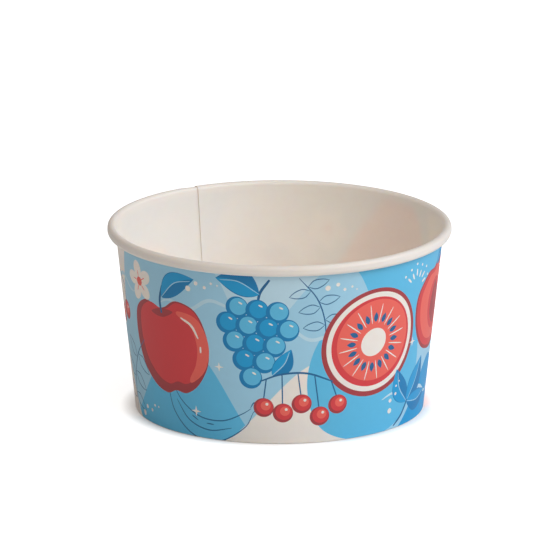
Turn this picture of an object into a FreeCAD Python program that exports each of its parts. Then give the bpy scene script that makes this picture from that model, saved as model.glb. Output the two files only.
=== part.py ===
import FreeCAD, Part
import math
import os

import Sketcher

# Paper dessert cup.
#
# Two pieces of coated board. side_wall is one blank wrapped to a cone: its ends lap in a glued
# seam, its top edge is rolled outwards into the rim, and its foot is turned in and up into a hem.
# base_disc is a round disc with a skirt that the hem holds against the wall.
#
# Frame: millimetres, +Z up, the cup's axis on Z, the foot's fold on z = 0.
# Angles are in degrees, counterclockwise from +X seen from above.

# Driving dimensions
SIZES = {
    # the cup as a whole
    "rim_diameter": 115.0,    # over the rolled rim
    "foot_diameter": 96.5,    # over the wall's outer face, carried down to the table
    "cup_height": 63.0,       # table to the top of the roll
    # the blank
    "wall_sheet": 0.32,       # board of the wall
    "lap_width": 7.0,         # how far the outer end of the blank covers the inner end
    "seam_angle": 120.3,      # where the inner end of the blank starts
    # the rolled rim
    "curl_core": 0.12,        # tightest bend, in the middle of the doubled curl
    "curl_clearance": 0.05,   # between the curl's end and the doubled wall
    "roll_drop": 0.7,         # straight outer side of the roll
    "tuck_height": 0.8,       # straight end of the curl, inside the roll
    # the hem
    "hem_height": 6.5,        # table to the hem's cut edge
    "fold_press": 0.08,       # how much thinner the outer layer is pressed at the foot
    # the disc
    "disc_sheet": 0.34,       # board of the disc
    "disc_level": 7.7,        # table to the disc's upper face
    "disc_bend": 0.9,         # outer radius where the disc turns down
    "seal_gap": 0.03,         # film between the skirt and the board on both its sides
}

# Sizes that follow from those, as the expressions that the sketches and features hold
BOARD = "sizes.wall_sheet"
FOOT_RADIUS = "(sizes.foot_diameter / 2)"
# The curl leaves room for both its own layers and both layers of the wall
ROLL_RADIUS = "(4 * sizes.wall_sheet + sizes.curl_core + sizes.curl_clearance)"
TUCK_RADIUS = "(2 * sizes.wall_sheet + sizes.curl_core)"
HEAD_RADIUS = f"(sizes.rim_diameter / 2 - {ROLL_RADIUS})"
HEAD_HEIGHT = f"(sizes.cup_height - {ROLL_RADIUS})"
# The wall's outer face runs from the foot's corner up to the inner side of the roll
FLARE = f"({HEAD_RADIUS} - {FOOT_RADIUS})"
WALL_LEAN = (
    f"(atan2({FLARE}; {HEAD_HEIGHT})"
    f" - asin(({ROLL_RADIUS} - {BOARD}) / hypot({FLARE}; {HEAD_HEIGHT})))"
)
HEM_GAP = "(sizes.disc_sheet + 2 * sizes.seal_gap)"
# The fold at the foot is two tight bends with a narrow flat between them
FOLD_BEND = f"({HEM_GAP} / 4)"
SKIRT_END = f"({BOARD} + {FOLD_BEND} + sizes.seal_gap)"
# Board that leaves the wall's circle in a straight line is one sheet further out after this turn
JOGGLE_ANGLE = f"acos({FOOT_RADIUS} / ({FOOT_RADIUS} + {BOARD}))"
LAP_ANGLE = f"(sizes.lap_width / {FOOT_RADIUS} * 1 rad)"
SEAM_ANGLE = "(sizes.seam_angle * 1 deg)"

# Ends of a sketch edge, and the lines and the point that every sketch has
START, END, CENTRE = 1, 2, 3
TABLE_LINE = -1
AXIS_LINE = -2
ORIGIN = (-1, 1)


def make_sheet(document):
    """Puts the driving dimensions in a spreadsheet, each under its own name."""
    cells = document.addObject("Spreadsheet::Sheet", "sizes")
    for row, (alias, number) in enumerate(SIZES.items(), start=1):
        cells.set(f"A{row}", alias)
        cells.set(f"B{row}", str(number))
        cells.setAlias(f"B{row}", alias)
    document.recompute()
    return cells


doc = FreeCAD.newDocument("dessert_cup")
sheet = make_sheet(doc)


def value_of(expression):
    """The number that an expression of the sheet gives now."""
    result = sheet.evalExpression(expression)
    return float(getattr(result, "Value", result))


class WallFrame:
    """Points beside the cup's wall, in the plane of a section: x is the radius, y the height."""

    def __init__(self):
        self.lean = value_of(WALL_LEAN)
        self.foot = value_of(FOOT_RADIUS)
        lean = math.radians(self.lean)
        self.upward = (math.sin(lean), math.cos(lean))
        self.outward = (math.cos(lean), -math.sin(lean))

    def at(self, offset, height):
        """The point at that height on the line that lies offset outside the wall's outer face."""
        run = (height - offset * self.outward[1]) / self.upward[1]
        return (self.foot + offset * self.outward[0] + run * self.upward[0], height)

    def beside(self, point, offset):
        """The point that lies offset from another, square to the wall."""
        return (point[0] + offset * self.outward[0], point[1] + offset * self.outward[1])


def flat(point):
    """A point of a sketch as a vector."""
    return FreeCAD.Vector(point[0], point[1], 0)


def section_sketch(body, name):
    """An empty sketch that stands on the cup's axis, with the radius along +X."""
    plane = next(part for part in body.Origin.OriginFeatures if part.Role == "XZ_Plane")
    sketch = body.newObject("Sketcher::SketchObject", name)
    sketch.AttachmentSupport = [(plane, "")]
    sketch.MapMode = "FlatFace"
    return sketch


def add_line(sketch, start, end):
    """Adds a straight edge and returns its number."""
    return sketch.addGeometry(Part.LineSegment(flat(start), flat(end)))


def add_arc(sketch, centre, radius, start_degrees, end_degrees):
    """Adds a counterclockwise arc and returns its number."""
    circle = Part.Circle(flat(centre), FreeCAD.Vector(0, 0, 1), radius)
    arc = Part.ArcOfCircle(circle, math.radians(start_degrees), math.radians(end_degrees))
    return sketch.addGeometry(arc)


def add_foot_corner(sketch, wall):
    """Adds the point where the wall's outer face, carried down, meets the table."""
    corner = sketch.addGeometry(Part.Point(flat((wall.foot, 0))), True)
    constrain(sketch, "PointOnObject", corner, START, TABLE_LINE)
    dimension(sketch, FOOT_RADIUS, "DistanceX", *ORIGIN, corner, START)
    return corner


def constrain(sketch, kind, *where):
    """Adds one geometric constraint."""
    sketch.addConstraint(Sketcher.Constraint(kind, *where))


def constrain_all(sketch, kind, places):
    """Adds one geometric constraint of the same kind at each place."""
    for where in places:
        constrain(sketch, kind, *where)


def dimension(sketch, expression, kind, *where):
    """Adds one dimension that holds an expression of the sheet."""
    number = sketch.addConstraint(Sketcher.Constraint(kind, *where, value_of(expression)))
    sketch.setExpression(f"Constraints[{number}]", expression)


def turn_about_axis(sketch, angle_expression):
    """Turns a sketch about the cup's axis, which is the sketch's own y."""
    turn = FreeCAD.Rotation(FreeCAD.Vector(0, 1, 0), value_of(angle_expression))
    sketch.AttachmentOffset = FreeCAD.Placement(FreeCAD.Vector(), turn)
    sketch.setExpression("AttachmentOffset.Rotation.Angle", angle_expression)


def draw_wall_section(body, name, layer):
    """The section of the wall: layer 0 is the single wall, layer 1 lies outside it in the seam.

    The outline runs from the hem's cut edge round the foot's fold, up the cone and round the
    rolled rim to the curl's cut edge, and back along the printed side of the board.
    """
    sketch = section_sketch(body, name)
    wall = WallFrame()
    board = value_of(BOARD)
    skin = value_of(ROLL_RADIUS) - layer * board
    tuck = value_of(TUCK_RADIUS) - layer * board
    press = value_of("sizes.fold_press")
    bend = value_of(FOLD_BEND) + layer * (board - press)
    gap = value_of(HEM_GAP) + 2 * layer * board

    head = (value_of(HEAD_RADIUS), value_of(HEAD_HEIGHT))
    drop = (head[0], head[1] - value_of("sizes.roll_drop"))
    core = (head[0], drop[1] - skin + tuck)
    tip = core[1] + value_of("sizes.tuck_height")
    skin_line = (layer - 1) * board
    hem_line = skin_line - gap
    floor = board - layer * press
    table_in = wall.at(hem_line + bend, bend + board)
    table_out = wall.at(skin_line - bend, bend + board)
    floor_in = wall.at(hem_line + bend, floor + bend)
    floor_out = wall.at(skin_line - bend, floor + bend)
    hem_head = wall.at(hem_line - board, value_of("sizes.hem_height"))
    hem_back = wall.beside(hem_head, board)
    inner_end, outer_end = 180 - wall.lean, 360 - wall.lean

    # The edges, in the order in which the outline meets them
    hem_inside = add_line(sketch, wall.beside(table_in, -bend - board), hem_head)
    hem_edge = add_line(sketch, hem_head, hem_back)
    hem_outside = add_line(sketch, hem_back, wall.beside(floor_in, -bend))
    floor_hem_bend = add_arc(sketch, floor_in, bend, inner_end, 270)
    floor_flat = add_line(sketch, (floor_in[0], floor), (floor_out[0], floor))
    floor_wall_bend = add_arc(sketch, floor_out, bend, 270, outer_end)
    wall_inside = add_line(sketch, wall.beside(floor_out, bend), wall.beside(head, -skin))
    top_skin = add_arc(sketch, head, skin, 0, inner_end)
    side_skin = add_line(sketch, (head[0] + skin, head[1]), (drop[0] + skin, drop[1]))
    under_skin = add_arc(sketch, drop, skin, 270, 360)
    tuck_skin = add_arc(sketch, core, tuck, 180, 270)
    end_outside = add_line(sketch, (core[0] - tuck, core[1]), (core[0] - tuck, tip))
    curl_edge = add_line(sketch, (core[0] - tuck, tip), (core[0] - tuck + board, tip))
    end_inside = add_line(sketch, (core[0] - tuck + board, tip), (core[0] - tuck + board, core[1]))
    tuck_lining = add_arc(sketch, core, tuck - board, 180, 270)
    under_lining = add_arc(sketch, drop, skin - board, 270, 360)
    side_lining = add_line(
        sketch, (drop[0] + skin - board, drop[1]), (head[0] + skin - board, head[1])
    )
    top_lining = add_arc(sketch, head, skin - board, 0, inner_end)
    wall_outside = add_line(
        sketch, wall.beside(head, board - skin), wall.beside(table_out, bend + board)
    )
    table_wall_bend = add_arc(sketch, table_out, bend + board, 270, outer_end)
    table_flat = add_line(sketch, (table_out[0], 0), (table_in[0], 0))
    table_hem_bend = add_arc(sketch, table_in, bend + board, inner_end, 270)
    corner = add_foot_corner(sketch, wall)

    constrain_all(sketch, "Tangent", (
        (table_hem_bend, START, hem_inside, START),
        (hem_outside, END, floor_hem_bend, START),
        (floor_hem_bend, END, floor_flat, START),
        (floor_flat, END, floor_wall_bend, START),
        (floor_wall_bend, END, wall_inside, START),
        (wall_inside, END, top_skin, END),
        (top_skin, START, side_skin, START),
        (side_skin, END, under_skin, END),
        (under_skin, START, tuck_skin, END),
        (tuck_skin, START, end_outside, START),
        (end_inside, END, tuck_lining, START),
        (tuck_lining, END, under_lining, START),
        (under_lining, END, side_lining, START),
        (side_lining, END, top_lining, START),
        (top_lining, END, wall_outside, START),
        (wall_outside, END, table_wall_bend, END),
        (table_wall_bend, START, table_flat, START),
        (table_flat, END, table_hem_bend, END),
    ))
    constrain_all(sketch, "Coincident", (
        (hem_inside, END, hem_edge, START),
        (hem_edge, END, hem_outside, START),
        (end_outside, END, curl_edge, START),
        (curl_edge, END, end_inside, START),
        (top_lining, CENTRE, top_skin, CENTRE),
        (under_lining, CENTRE, under_skin, CENTRE),
        (tuck_lining, CENTRE, tuck_skin, CENTRE),
    ))
    constrain_all(sketch, "Vertical", (
        (side_skin,),
        (side_lining,),
        (end_outside,),
        (end_inside,),
        (under_skin, CENTRE, tuck_skin, CENTRE),
    ))
    constrain_all(sketch, "Parallel", (
        (wall_inside, wall_outside),
        (wall_inside, hem_outside),
        (wall_inside, hem_inside),
    ))
    constrain_all(sketch, "Horizontal", ((curl_edge,), (floor_flat,), (table_flat,)))
    constrain(sketch, "Perpendicular", hem_outside, hem_edge)

    # The rolled rim
    inset = f"{layer} * {BOARD}"
    dimension(sketch, HEAD_RADIUS, "DistanceX", *ORIGIN, top_skin, CENTRE)
    dimension(sketch, HEAD_HEIGHT, "DistanceY", *ORIGIN, top_skin, CENTRE)
    dimension(sketch, f"{ROLL_RADIUS} - {inset}", "Radius", top_skin)
    dimension(sketch, f"{ROLL_RADIUS} - {inset} - {BOARD}", "Radius", top_lining)
    dimension(sketch, f"{ROLL_RADIUS} - {inset}", "Radius", under_skin)
    dimension(sketch, f"{TUCK_RADIUS} - {inset}", "Radius", tuck_skin)
    dimension(sketch, "sizes.roll_drop", "DistanceY", side_skin, END, side_skin, START)
    dimension(sketch, "sizes.tuck_height", "DistanceY", end_outside, START, end_outside, END)

    # The cone: the two layers meet on the face that runs down to the foot's corner
    meeting_face = wall_inside if layer else wall_outside
    constrain(sketch, "PointOnObject", corner, START, meeting_face)

    # The fold stands on the table, and the hem rises beside the wall
    constrain(sketch, "PointOnObject", table_flat, START, TABLE_LINE)
    floor_height = f"{BOARD} - {layer} * sizes.fold_press"
    dimension(sketch, floor_height, "DistanceY", *ORIGIN, floor_flat, START)
    bend_radius = f"{FOLD_BEND} + {layer} * ({BOARD} - sizes.fold_press)"
    for inner_bend, outer_bend in (
        (floor_hem_bend, table_hem_bend),
        (floor_wall_bend, table_wall_bend),
    ):
        dimension(sketch, bend_radius, "Radius", inner_bend)
        dimension(sketch, f"{bend_radius} + {BOARD}", "Radius", outer_bend)
    dimension(sketch, f"{HEM_GAP} + 2 * {inset}", "Distance", hem_outside, START, wall_inside)
    dimension(sketch, BOARD, "Distance", hem_edge)
    dimension(sketch, "sizes.hem_height", "DistanceY", *ORIGIN, hem_inside, END)
    return sketch


def draw_disc_section(body):
    """The section of the disc, from the axis out to the bend and down its skirt."""
    sketch = section_sketch(body, "disc_section")
    wall = WallFrame()
    board = value_of("sizes.disc_sheet")
    level = value_of("sizes.disc_level")
    bend = value_of("sizes.disc_bend")
    clearance = value_of(BOARD) + value_of("sizes.seal_gap")
    hub = wall.at(-clearance - bend, level - bend)
    foot_out = wall.at(-clearance, value_of(SKIRT_END))
    foot_in = wall.beside(foot_out, -board)

    axis_edge = add_line(sketch, (0, level - board), (0, level))
    upper_face = add_line(sketch, (0, level), (hub[0], level))
    outer_bend = add_arc(sketch, hub, bend, -wall.lean, 90)
    skirt_outside = add_line(sketch, wall.beside(hub, bend), foot_out)
    skirt_edge = add_line(sketch, foot_out, foot_in)
    skirt_inside = add_line(sketch, foot_in, wall.beside(hub, bend - board))
    inner_bend = add_arc(sketch, hub, bend - board, -wall.lean, 90)
    lower_face = add_line(sketch, (hub[0], level - board), (0, level - board))
    corner = add_foot_corner(sketch, wall)

    constrain_all(sketch, "Tangent", (
        (upper_face, END, outer_bend, END),
        (outer_bend, START, skirt_outside, START),
        (skirt_inside, END, inner_bend, START),
        (inner_bend, END, lower_face, START),
    ))
    constrain_all(sketch, "Coincident", (
        (axis_edge, END, upper_face, START),
        (axis_edge, START, lower_face, END),
        (skirt_outside, END, skirt_edge, START),
        (skirt_edge, END, skirt_inside, START),
        (inner_bend, CENTRE, outer_bend, CENTRE),
    ))
    constrain_all(sketch, "PointOnObject", (
        (upper_face, START, AXIS_LINE),
        (lower_face, END, AXIS_LINE),
    ))
    constrain(sketch, "Horizontal", upper_face)
    constrain(sketch, "Horizontal", lower_face)
    constrain(sketch, "Parallel", skirt_outside, skirt_inside)
    constrain(sketch, "Perpendicular", skirt_outside, skirt_edge)

    dimension(sketch, "sizes.disc_level", "DistanceY", *ORIGIN, upper_face, START)
    dimension(sketch, "sizes.disc_bend", "Radius", outer_bend)
    dimension(sketch, "sizes.disc_bend - sizes.disc_sheet", "Radius", inner_bend)
    dimension(sketch, SKIRT_END, "DistanceY", *ORIGIN, skirt_outside, END)
    dimension(sketch, f"{BOARD} + sizes.seal_gap", "Distance", corner, START, skirt_outside)
    dimension(sketch, f"90 deg - {WALL_LEAN}", "Angle", upper_face, END, skirt_outside, START)
    return sketch


def turn_section(body, name, sketch, angle_expression, clockwise=False):
    """Turns a section about the cup's axis by the given angle."""
    turned = body.newObject("PartDesign::Revolution", name)
    turned.Profile = sketch
    turned.ReferenceAxis = (sketch, ["V_Axis"])
    turned.Reversed = clockwise
    turned.setExpression("Angle", angle_expression)
    return turned


def new_body(name):
    """A sub-part under its own name."""
    body = doc.addObject("PartDesign::Body", name)
    body.Label = name
    return body


def make_side_wall():
    """The printed blank: once round as a single wall, then in a straight run out over its start."""
    body = new_body("side_wall")
    single = draw_wall_section(body, "single_section", 0)
    doubled = draw_wall_section(body, "doubled_section", 1)
    turn_about_axis(single, f"{SEAM_ANGLE} + {JOGGLE_ANGLE}")
    turn_about_axis(doubled, SEAM_ANGLE)
    turn_section(body, "single_wall", single, f"360 deg - {JOGGLE_ANGLE}")
    turn_section(body, "lap", doubled, LAP_ANGLE, clockwise=True)
    joggle = body.newObject("PartDesign::AdditiveLoft", "joggle")
    joggle.Profile = single
    joggle.Sections = [doubled]
    joggle.Ruled = True
    return body


def make_base_disc():
    """The disc with its turned-down skirt."""
    body = new_body("base_disc")
    turn_section(body, "disc_and_skirt", draw_disc_section(body), "360 deg")
    return body


def check_model(bodies):
    """Stops before anything is written if an object failed or a sub-part isn't one sound solid."""
    for item in doc.Objects:
        if "Invalid" in item.State or "Error" in item.State:
            raise RuntimeError(f"{item.Name} failed: {item.State}")
    for body in bodies:
        shape = body.Shape
        if shape.isNull() or not shape.isValid() or len(shape.Solids) != 1:
            raise RuntimeError(f"{body.Label} isn't one sound solid")


def write_parts(bodies):
    """Writes each sub-part to its own file."""
    os.makedirs("parts", exist_ok=True)
    for body in bodies:
        solid = body.Shape.Solids[0]
        solid.exportStep(f"parts/{body.Label}.step")
        print(f"{body.Label}: {solid.Volume:.1f} mm3, {len(solid.Faces)} faces")


sub_parts = [make_side_wall(), make_base_disc()]
doc.recompute()
check_model(sub_parts)
write_parts(sub_parts)
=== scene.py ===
"""The looks of a paper dessert cup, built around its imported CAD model.

The wall is made as the real one is. A flat blank gets its fields of ink and the thickness of its board,
and is then formed: wrapped to a cone, lapped at the seam, rolled at the rim and folded at the foot.

Sizes are in millimetres, and a finished mesh is scaled to metres. Angles are in degrees, counterclockwise
from +X seen from above. The cup stands on z = 0, and the photograph looks along +Y.
"""

import logging
import math
from collections.abc import Callable
from dataclasses import dataclass, field
from enum import Enum
from functools import cached_property, partial

import bmesh
import bpy
import numpy as np
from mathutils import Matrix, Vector
from mathutils.geometry import delaunay_2d_cdt
from mathutils.kdtree import KDTree


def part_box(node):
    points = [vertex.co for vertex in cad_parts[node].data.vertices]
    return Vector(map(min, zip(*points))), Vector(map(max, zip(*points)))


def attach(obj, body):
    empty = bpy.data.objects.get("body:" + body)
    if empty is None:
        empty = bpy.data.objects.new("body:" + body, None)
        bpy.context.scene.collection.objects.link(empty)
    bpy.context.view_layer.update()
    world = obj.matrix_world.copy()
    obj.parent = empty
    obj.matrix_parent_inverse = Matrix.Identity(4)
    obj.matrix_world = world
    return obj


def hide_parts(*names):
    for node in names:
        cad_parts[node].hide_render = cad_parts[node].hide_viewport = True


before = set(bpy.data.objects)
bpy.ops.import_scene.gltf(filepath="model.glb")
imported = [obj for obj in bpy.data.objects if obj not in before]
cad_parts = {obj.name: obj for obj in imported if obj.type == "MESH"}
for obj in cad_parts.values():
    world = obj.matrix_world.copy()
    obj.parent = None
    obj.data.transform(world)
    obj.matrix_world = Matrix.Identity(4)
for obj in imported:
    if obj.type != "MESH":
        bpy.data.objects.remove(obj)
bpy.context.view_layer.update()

log = logging.getLogger("dessert_cup")

MM = 0.001

SHORTEST = 1e-6  # places closer together than this are one place
SLIVER = 0.001  # edges of the blank that are shorter than this are closed up
ON_LINE = 1e-4  # how far an edge of the blank's grid may run off its line

Place = tuple[float, float]
Rows = np.ndarray
Outline = np.ndarray
Patches = list[tuple["Face", Outline]]
Tree = bpy.types.NodeTree
Socket = bpy.types.NodeSocket


class Face(Enum):
    """What a face of the wall shows, in the order of the wall's material slots."""

    FOOD_SIDE = 0
    CUT_EDGE = 1
    BARE = 2
    LIGHT_BLUE = 3
    PALE_BLUE = 4
    MID_BLUE = 5
    STRONG_BLUE = 6
    DEEP_BLUE = 7
    LINE_BLUE = 8
    CORAL = 9
    RED = 10
    DARK_RED = 11


def smooth_step(share: np.ndarray) -> np.ndarray:
    """Eases a share from 0 to 1, with no kink at either end."""
    share = np.clip(share, 0, 1)
    return share * share * (3 - 2 * share)


def linear_from_hex(code: str, alpha: float = 1.0) -> tuple[float, float, float, float]:
    """Turns an sRGB colour into the linear one that nodes and lamps hold.

    Args:
        code: The colour as six hex digits after a number sign.
        alpha: The fourth value.

    Returns:
        Red, green, blue and alpha.
    """
    channels = [int(code[i:i + 2], 16) / 255 for i in (1, 3, 5)]
    linear = [c / 12.92 if c <= 0.04045 else ((c + 0.055) / 1.055) ** 2.4 for c in channels]
    return (*linear, alpha)


# The cup's sizes and its section


@dataclass(frozen=True)
class CupSizes:
    """Sizes of the formed cup in millimetres. What the frame doesn't tell is as in the CAD source."""

    rim_radius: float
    height: float
    disc_level: float
    foot_radius: float = 48.25
    board: float = 0.32
    lap_width: float = 7.0
    seam_angle: float = 120.3
    seal_film: float = 0.02
    curl_core: float = 0.12
    curl_clearance: float = 0.05
    roll_drop: float = 0.7
    tuck_height: float = 0.8
    hem_height: float = 6.5
    fold_press: float = 0.08
    disc_board: float = 0.34
    disc_bend: float = 0.9
    skirt_gap: float = 0.03

    @classmethod
    def from_frame(cls) -> "CupSizes":
        """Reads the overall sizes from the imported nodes.

        Returns:
            The cup's sizes.
        """
        _, wall_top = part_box("side_wall")
        _, disc_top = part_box("base_disc")
        return cls(wall_top.y / MM, wall_top.z / MM, disc_top.z / MM)

    @property
    def roll_radius(self) -> float:
        """Outer radius of the roll, which holds its own two layers and two of the wall."""
        return 4 * self.board + self.curl_core + self.curl_clearance

    @property
    def tuck_radius(self) -> float:
        """Outer radius of the curl's last turn."""
        return 2 * self.board + self.curl_core

    @property
    def head(self) -> np.ndarray:
        """Centre of the roll's upper bend, as radius and height."""
        return np.array((self.rim_radius - self.roll_radius, self.height - self.roll_radius))

    @property
    def lean(self) -> float:
        """How far the wall leans out from upright.

        Returns:
            The angle in degrees.
        """
        flare, rise = self.head - (self.foot_radius, 0)
        reach = math.asin((self.roll_radius - self.board) / math.hypot(flare, rise))
        return math.degrees(math.atan2(flare, rise) - reach)

    @property
    def hem_gap(self) -> float:
        """Room between wall and hem for the disc's skirt."""
        return self.disc_board + 2 * self.skirt_gap

    @property
    def fold_radius(self) -> float:
        """Inner radius of the foot's fold."""
        return self.hem_gap / 4

    @property
    def joggle(self) -> float:
        """The turn in which board that runs straight on gets one sheet further out."""
        return math.degrees(math.acos(self.foot_radius / (self.foot_radius + self.board)))

    @property
    def lap(self) -> float:
        """The angle that the seam's two layers share."""
        return math.degrees(self.lap_width / self.foot_radius)

    def at(self, offset: float, height: float) -> np.ndarray:
        """Finds a point on a line beside the wall.

        Args:
            offset: How far the line lies outside the wall's printed face.
            height: Height of the point.

        Returns:
            Its radius and height.
        """
        lean = math.radians(self.lean)
        run = (height + offset * math.sin(lean)) / math.cos(lean)
        return np.array((self.foot_radius + offset * math.cos(lean) + run * math.sin(lean), height))

    def outward(self) -> np.ndarray:
        """The direction square to the wall's printed face."""
        lean = math.radians(self.lean)
        return np.array((math.cos(lean), -math.sin(lean)))


@dataclass
class SectionPath:
    """Stations along the formed board, from the hem's cut edge to the curl's.

    A station is a point on the food side, the point across from it on the printed side, and the
    direction in which the printed side faces there.
    """

    food: list[np.ndarray] = field(default_factory=list)
    printed: list[np.ndarray] = field(default_factory=list)
    facing: list[float] = field(default_factory=list)

    def add_straight(self, food: tuple, printed: tuple, facing: float, steps: int) -> None:
        """Adds a straight run.

        Args:
            food: First and last point on the food side.
            printed: First and last point on the printed side.
            facing: Where the printed side faces.
            steps: How many stretches the run has.
        """
        for share in np.linspace(0, 1, steps + 1)[bool(self.food):]:
            for side, (first, last) in ((self.food, food), (self.printed, printed)):
                side.append((1 - share) * np.asarray(first) + share * np.asarray(last))
            self.facing.append(facing)

    def add_bend(self, food: tuple, printed: tuple, start: float, end: float, steps: int) -> None:
        """Adds a bend.

        Args:
            food: Centre and radius on the food side.
            printed: Centre and radius on the printed side.
            start: Angle at which the bend starts, seen from its centre.
            end: Angle at which it ends.
            steps: How many stretches the bend has.
        """
        turned = 0 if printed[1] > food[1] else 180
        for angle in np.linspace(start, end, steps + 1)[1:]:
            spoke = np.array((math.cos(math.radians(angle)), math.sin(math.radians(angle))))
            for side, (centre, radius) in ((self.food, food), (self.printed, printed)):
                side.append(centre + radius * spoke)
            self.facing.append(angle + turned)

    @cached_property
    def table(self) -> np.ndarray:
        """The stations as rows: food point, printed point and facing."""
        return np.column_stack((self.food, self.printed, self.facing))


@dataclass(frozen=True)
class SectionMaker:
    """Draws the wall's section for each way in which the board lies."""

    sizes: CupSizes
    hem_steps: int = 3
    fold_steps: int = 6
    cone_steps: int = 30
    head_steps: int = 20
    drop_steps: int = 2
    under_steps: int = 10
    tuck_steps: int = 8

    @property
    def cone_stations(self) -> tuple[int, int]:
        """Numbers of the first and the last station on the cone."""
        first = self.hem_steps + 2 * self.fold_steps + 1
        return first, first + self.cone_steps

    def draw(self, layer: int = 0, lift: float = 0.0) -> SectionPath:
        """Draws one section.

        Args:
            layer: 0 where the board is the wall itself, 1 where it lies outside it in the seam.
            lift: How far the fold is held off the table.

        Returns:
            The stations, as many for each layer.
        """
        sizes = self.sizes
        board, lean, out = sizes.board, sizes.lean, sizes.outward()
        step = layer * (board + sizes.seal_film)
        skin, tuck = sizes.roll_radius - step, sizes.tuck_radius - step
        skin_line = step - board
        hem_line = skin_line - sizes.hem_gap - 2 * step
        bend = sizes.fold_radius + layer * (board - sizes.fold_press)
        floor = lift + board - layer * sizes.fold_press
        head = sizes.head
        drop = head - (0, sizes.roll_drop)
        core = drop - (0, sizes.roll_radius - sizes.tuck_radius)
        tip = core + (0, sizes.tuck_height)

        fold_in, fold_out = hem_line + bend, skin_line - bend
        table_in, table_out = (sizes.at(x, lift + bend + board) for x in (fold_in, fold_out))
        floor_in, floor_out = (sizes.at(x, floor + bend) for x in (fold_in, fold_out))
        hem_head = sizes.at(hem_line - board, sizes.hem_height)

        path = SectionPath()
        path.add_straight(
            (hem_head + board * out, floor_in - bend * out),
            (hem_head, table_in - (bend + board) * out),
            180 - lean,
            self.hem_steps,
        )
        path.add_bend((floor_in, bend), (table_in, bend + board), 180 - lean, 270, self.fold_steps)
        path.add_straight(
            (floor_in - (0, bend), floor_out - (0, bend)),
            (table_in - (0, bend + board), table_out - (0, bend + board)),
            270,
            1,
        )
        path.add_bend((floor_out, bend), (table_out, bend + board), 270, 360 - lean, self.fold_steps)
        path.add_straight(
            (floor_out + bend * out, head - skin * out),
            (table_out + (bend + board) * out, head - (skin - board) * out),
            360 - lean,
            self.cone_steps,
        )
        path.add_bend((head, skin), (head, skin - board), 180 - lean, 0, self.head_steps)
        path.add_straight(
            (head + (skin, 0), drop + (skin, 0)),
            (head + (skin - board, 0), drop + (skin - board, 0)),
            180,
            self.drop_steps,
        )
        path.add_bend((drop, skin), (drop, skin - board), 0, -90, self.under_steps)
        path.add_bend((core, tuck), (core, tuck - board), -90, -180, self.tuck_steps)
        path.add_straight(
            (core - (tuck, 0), tip - (tuck, 0)),
            (core - (tuck - board, 0), tip - (tuck - board, 0)),
            0,
            1,
        )
        return path


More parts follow.
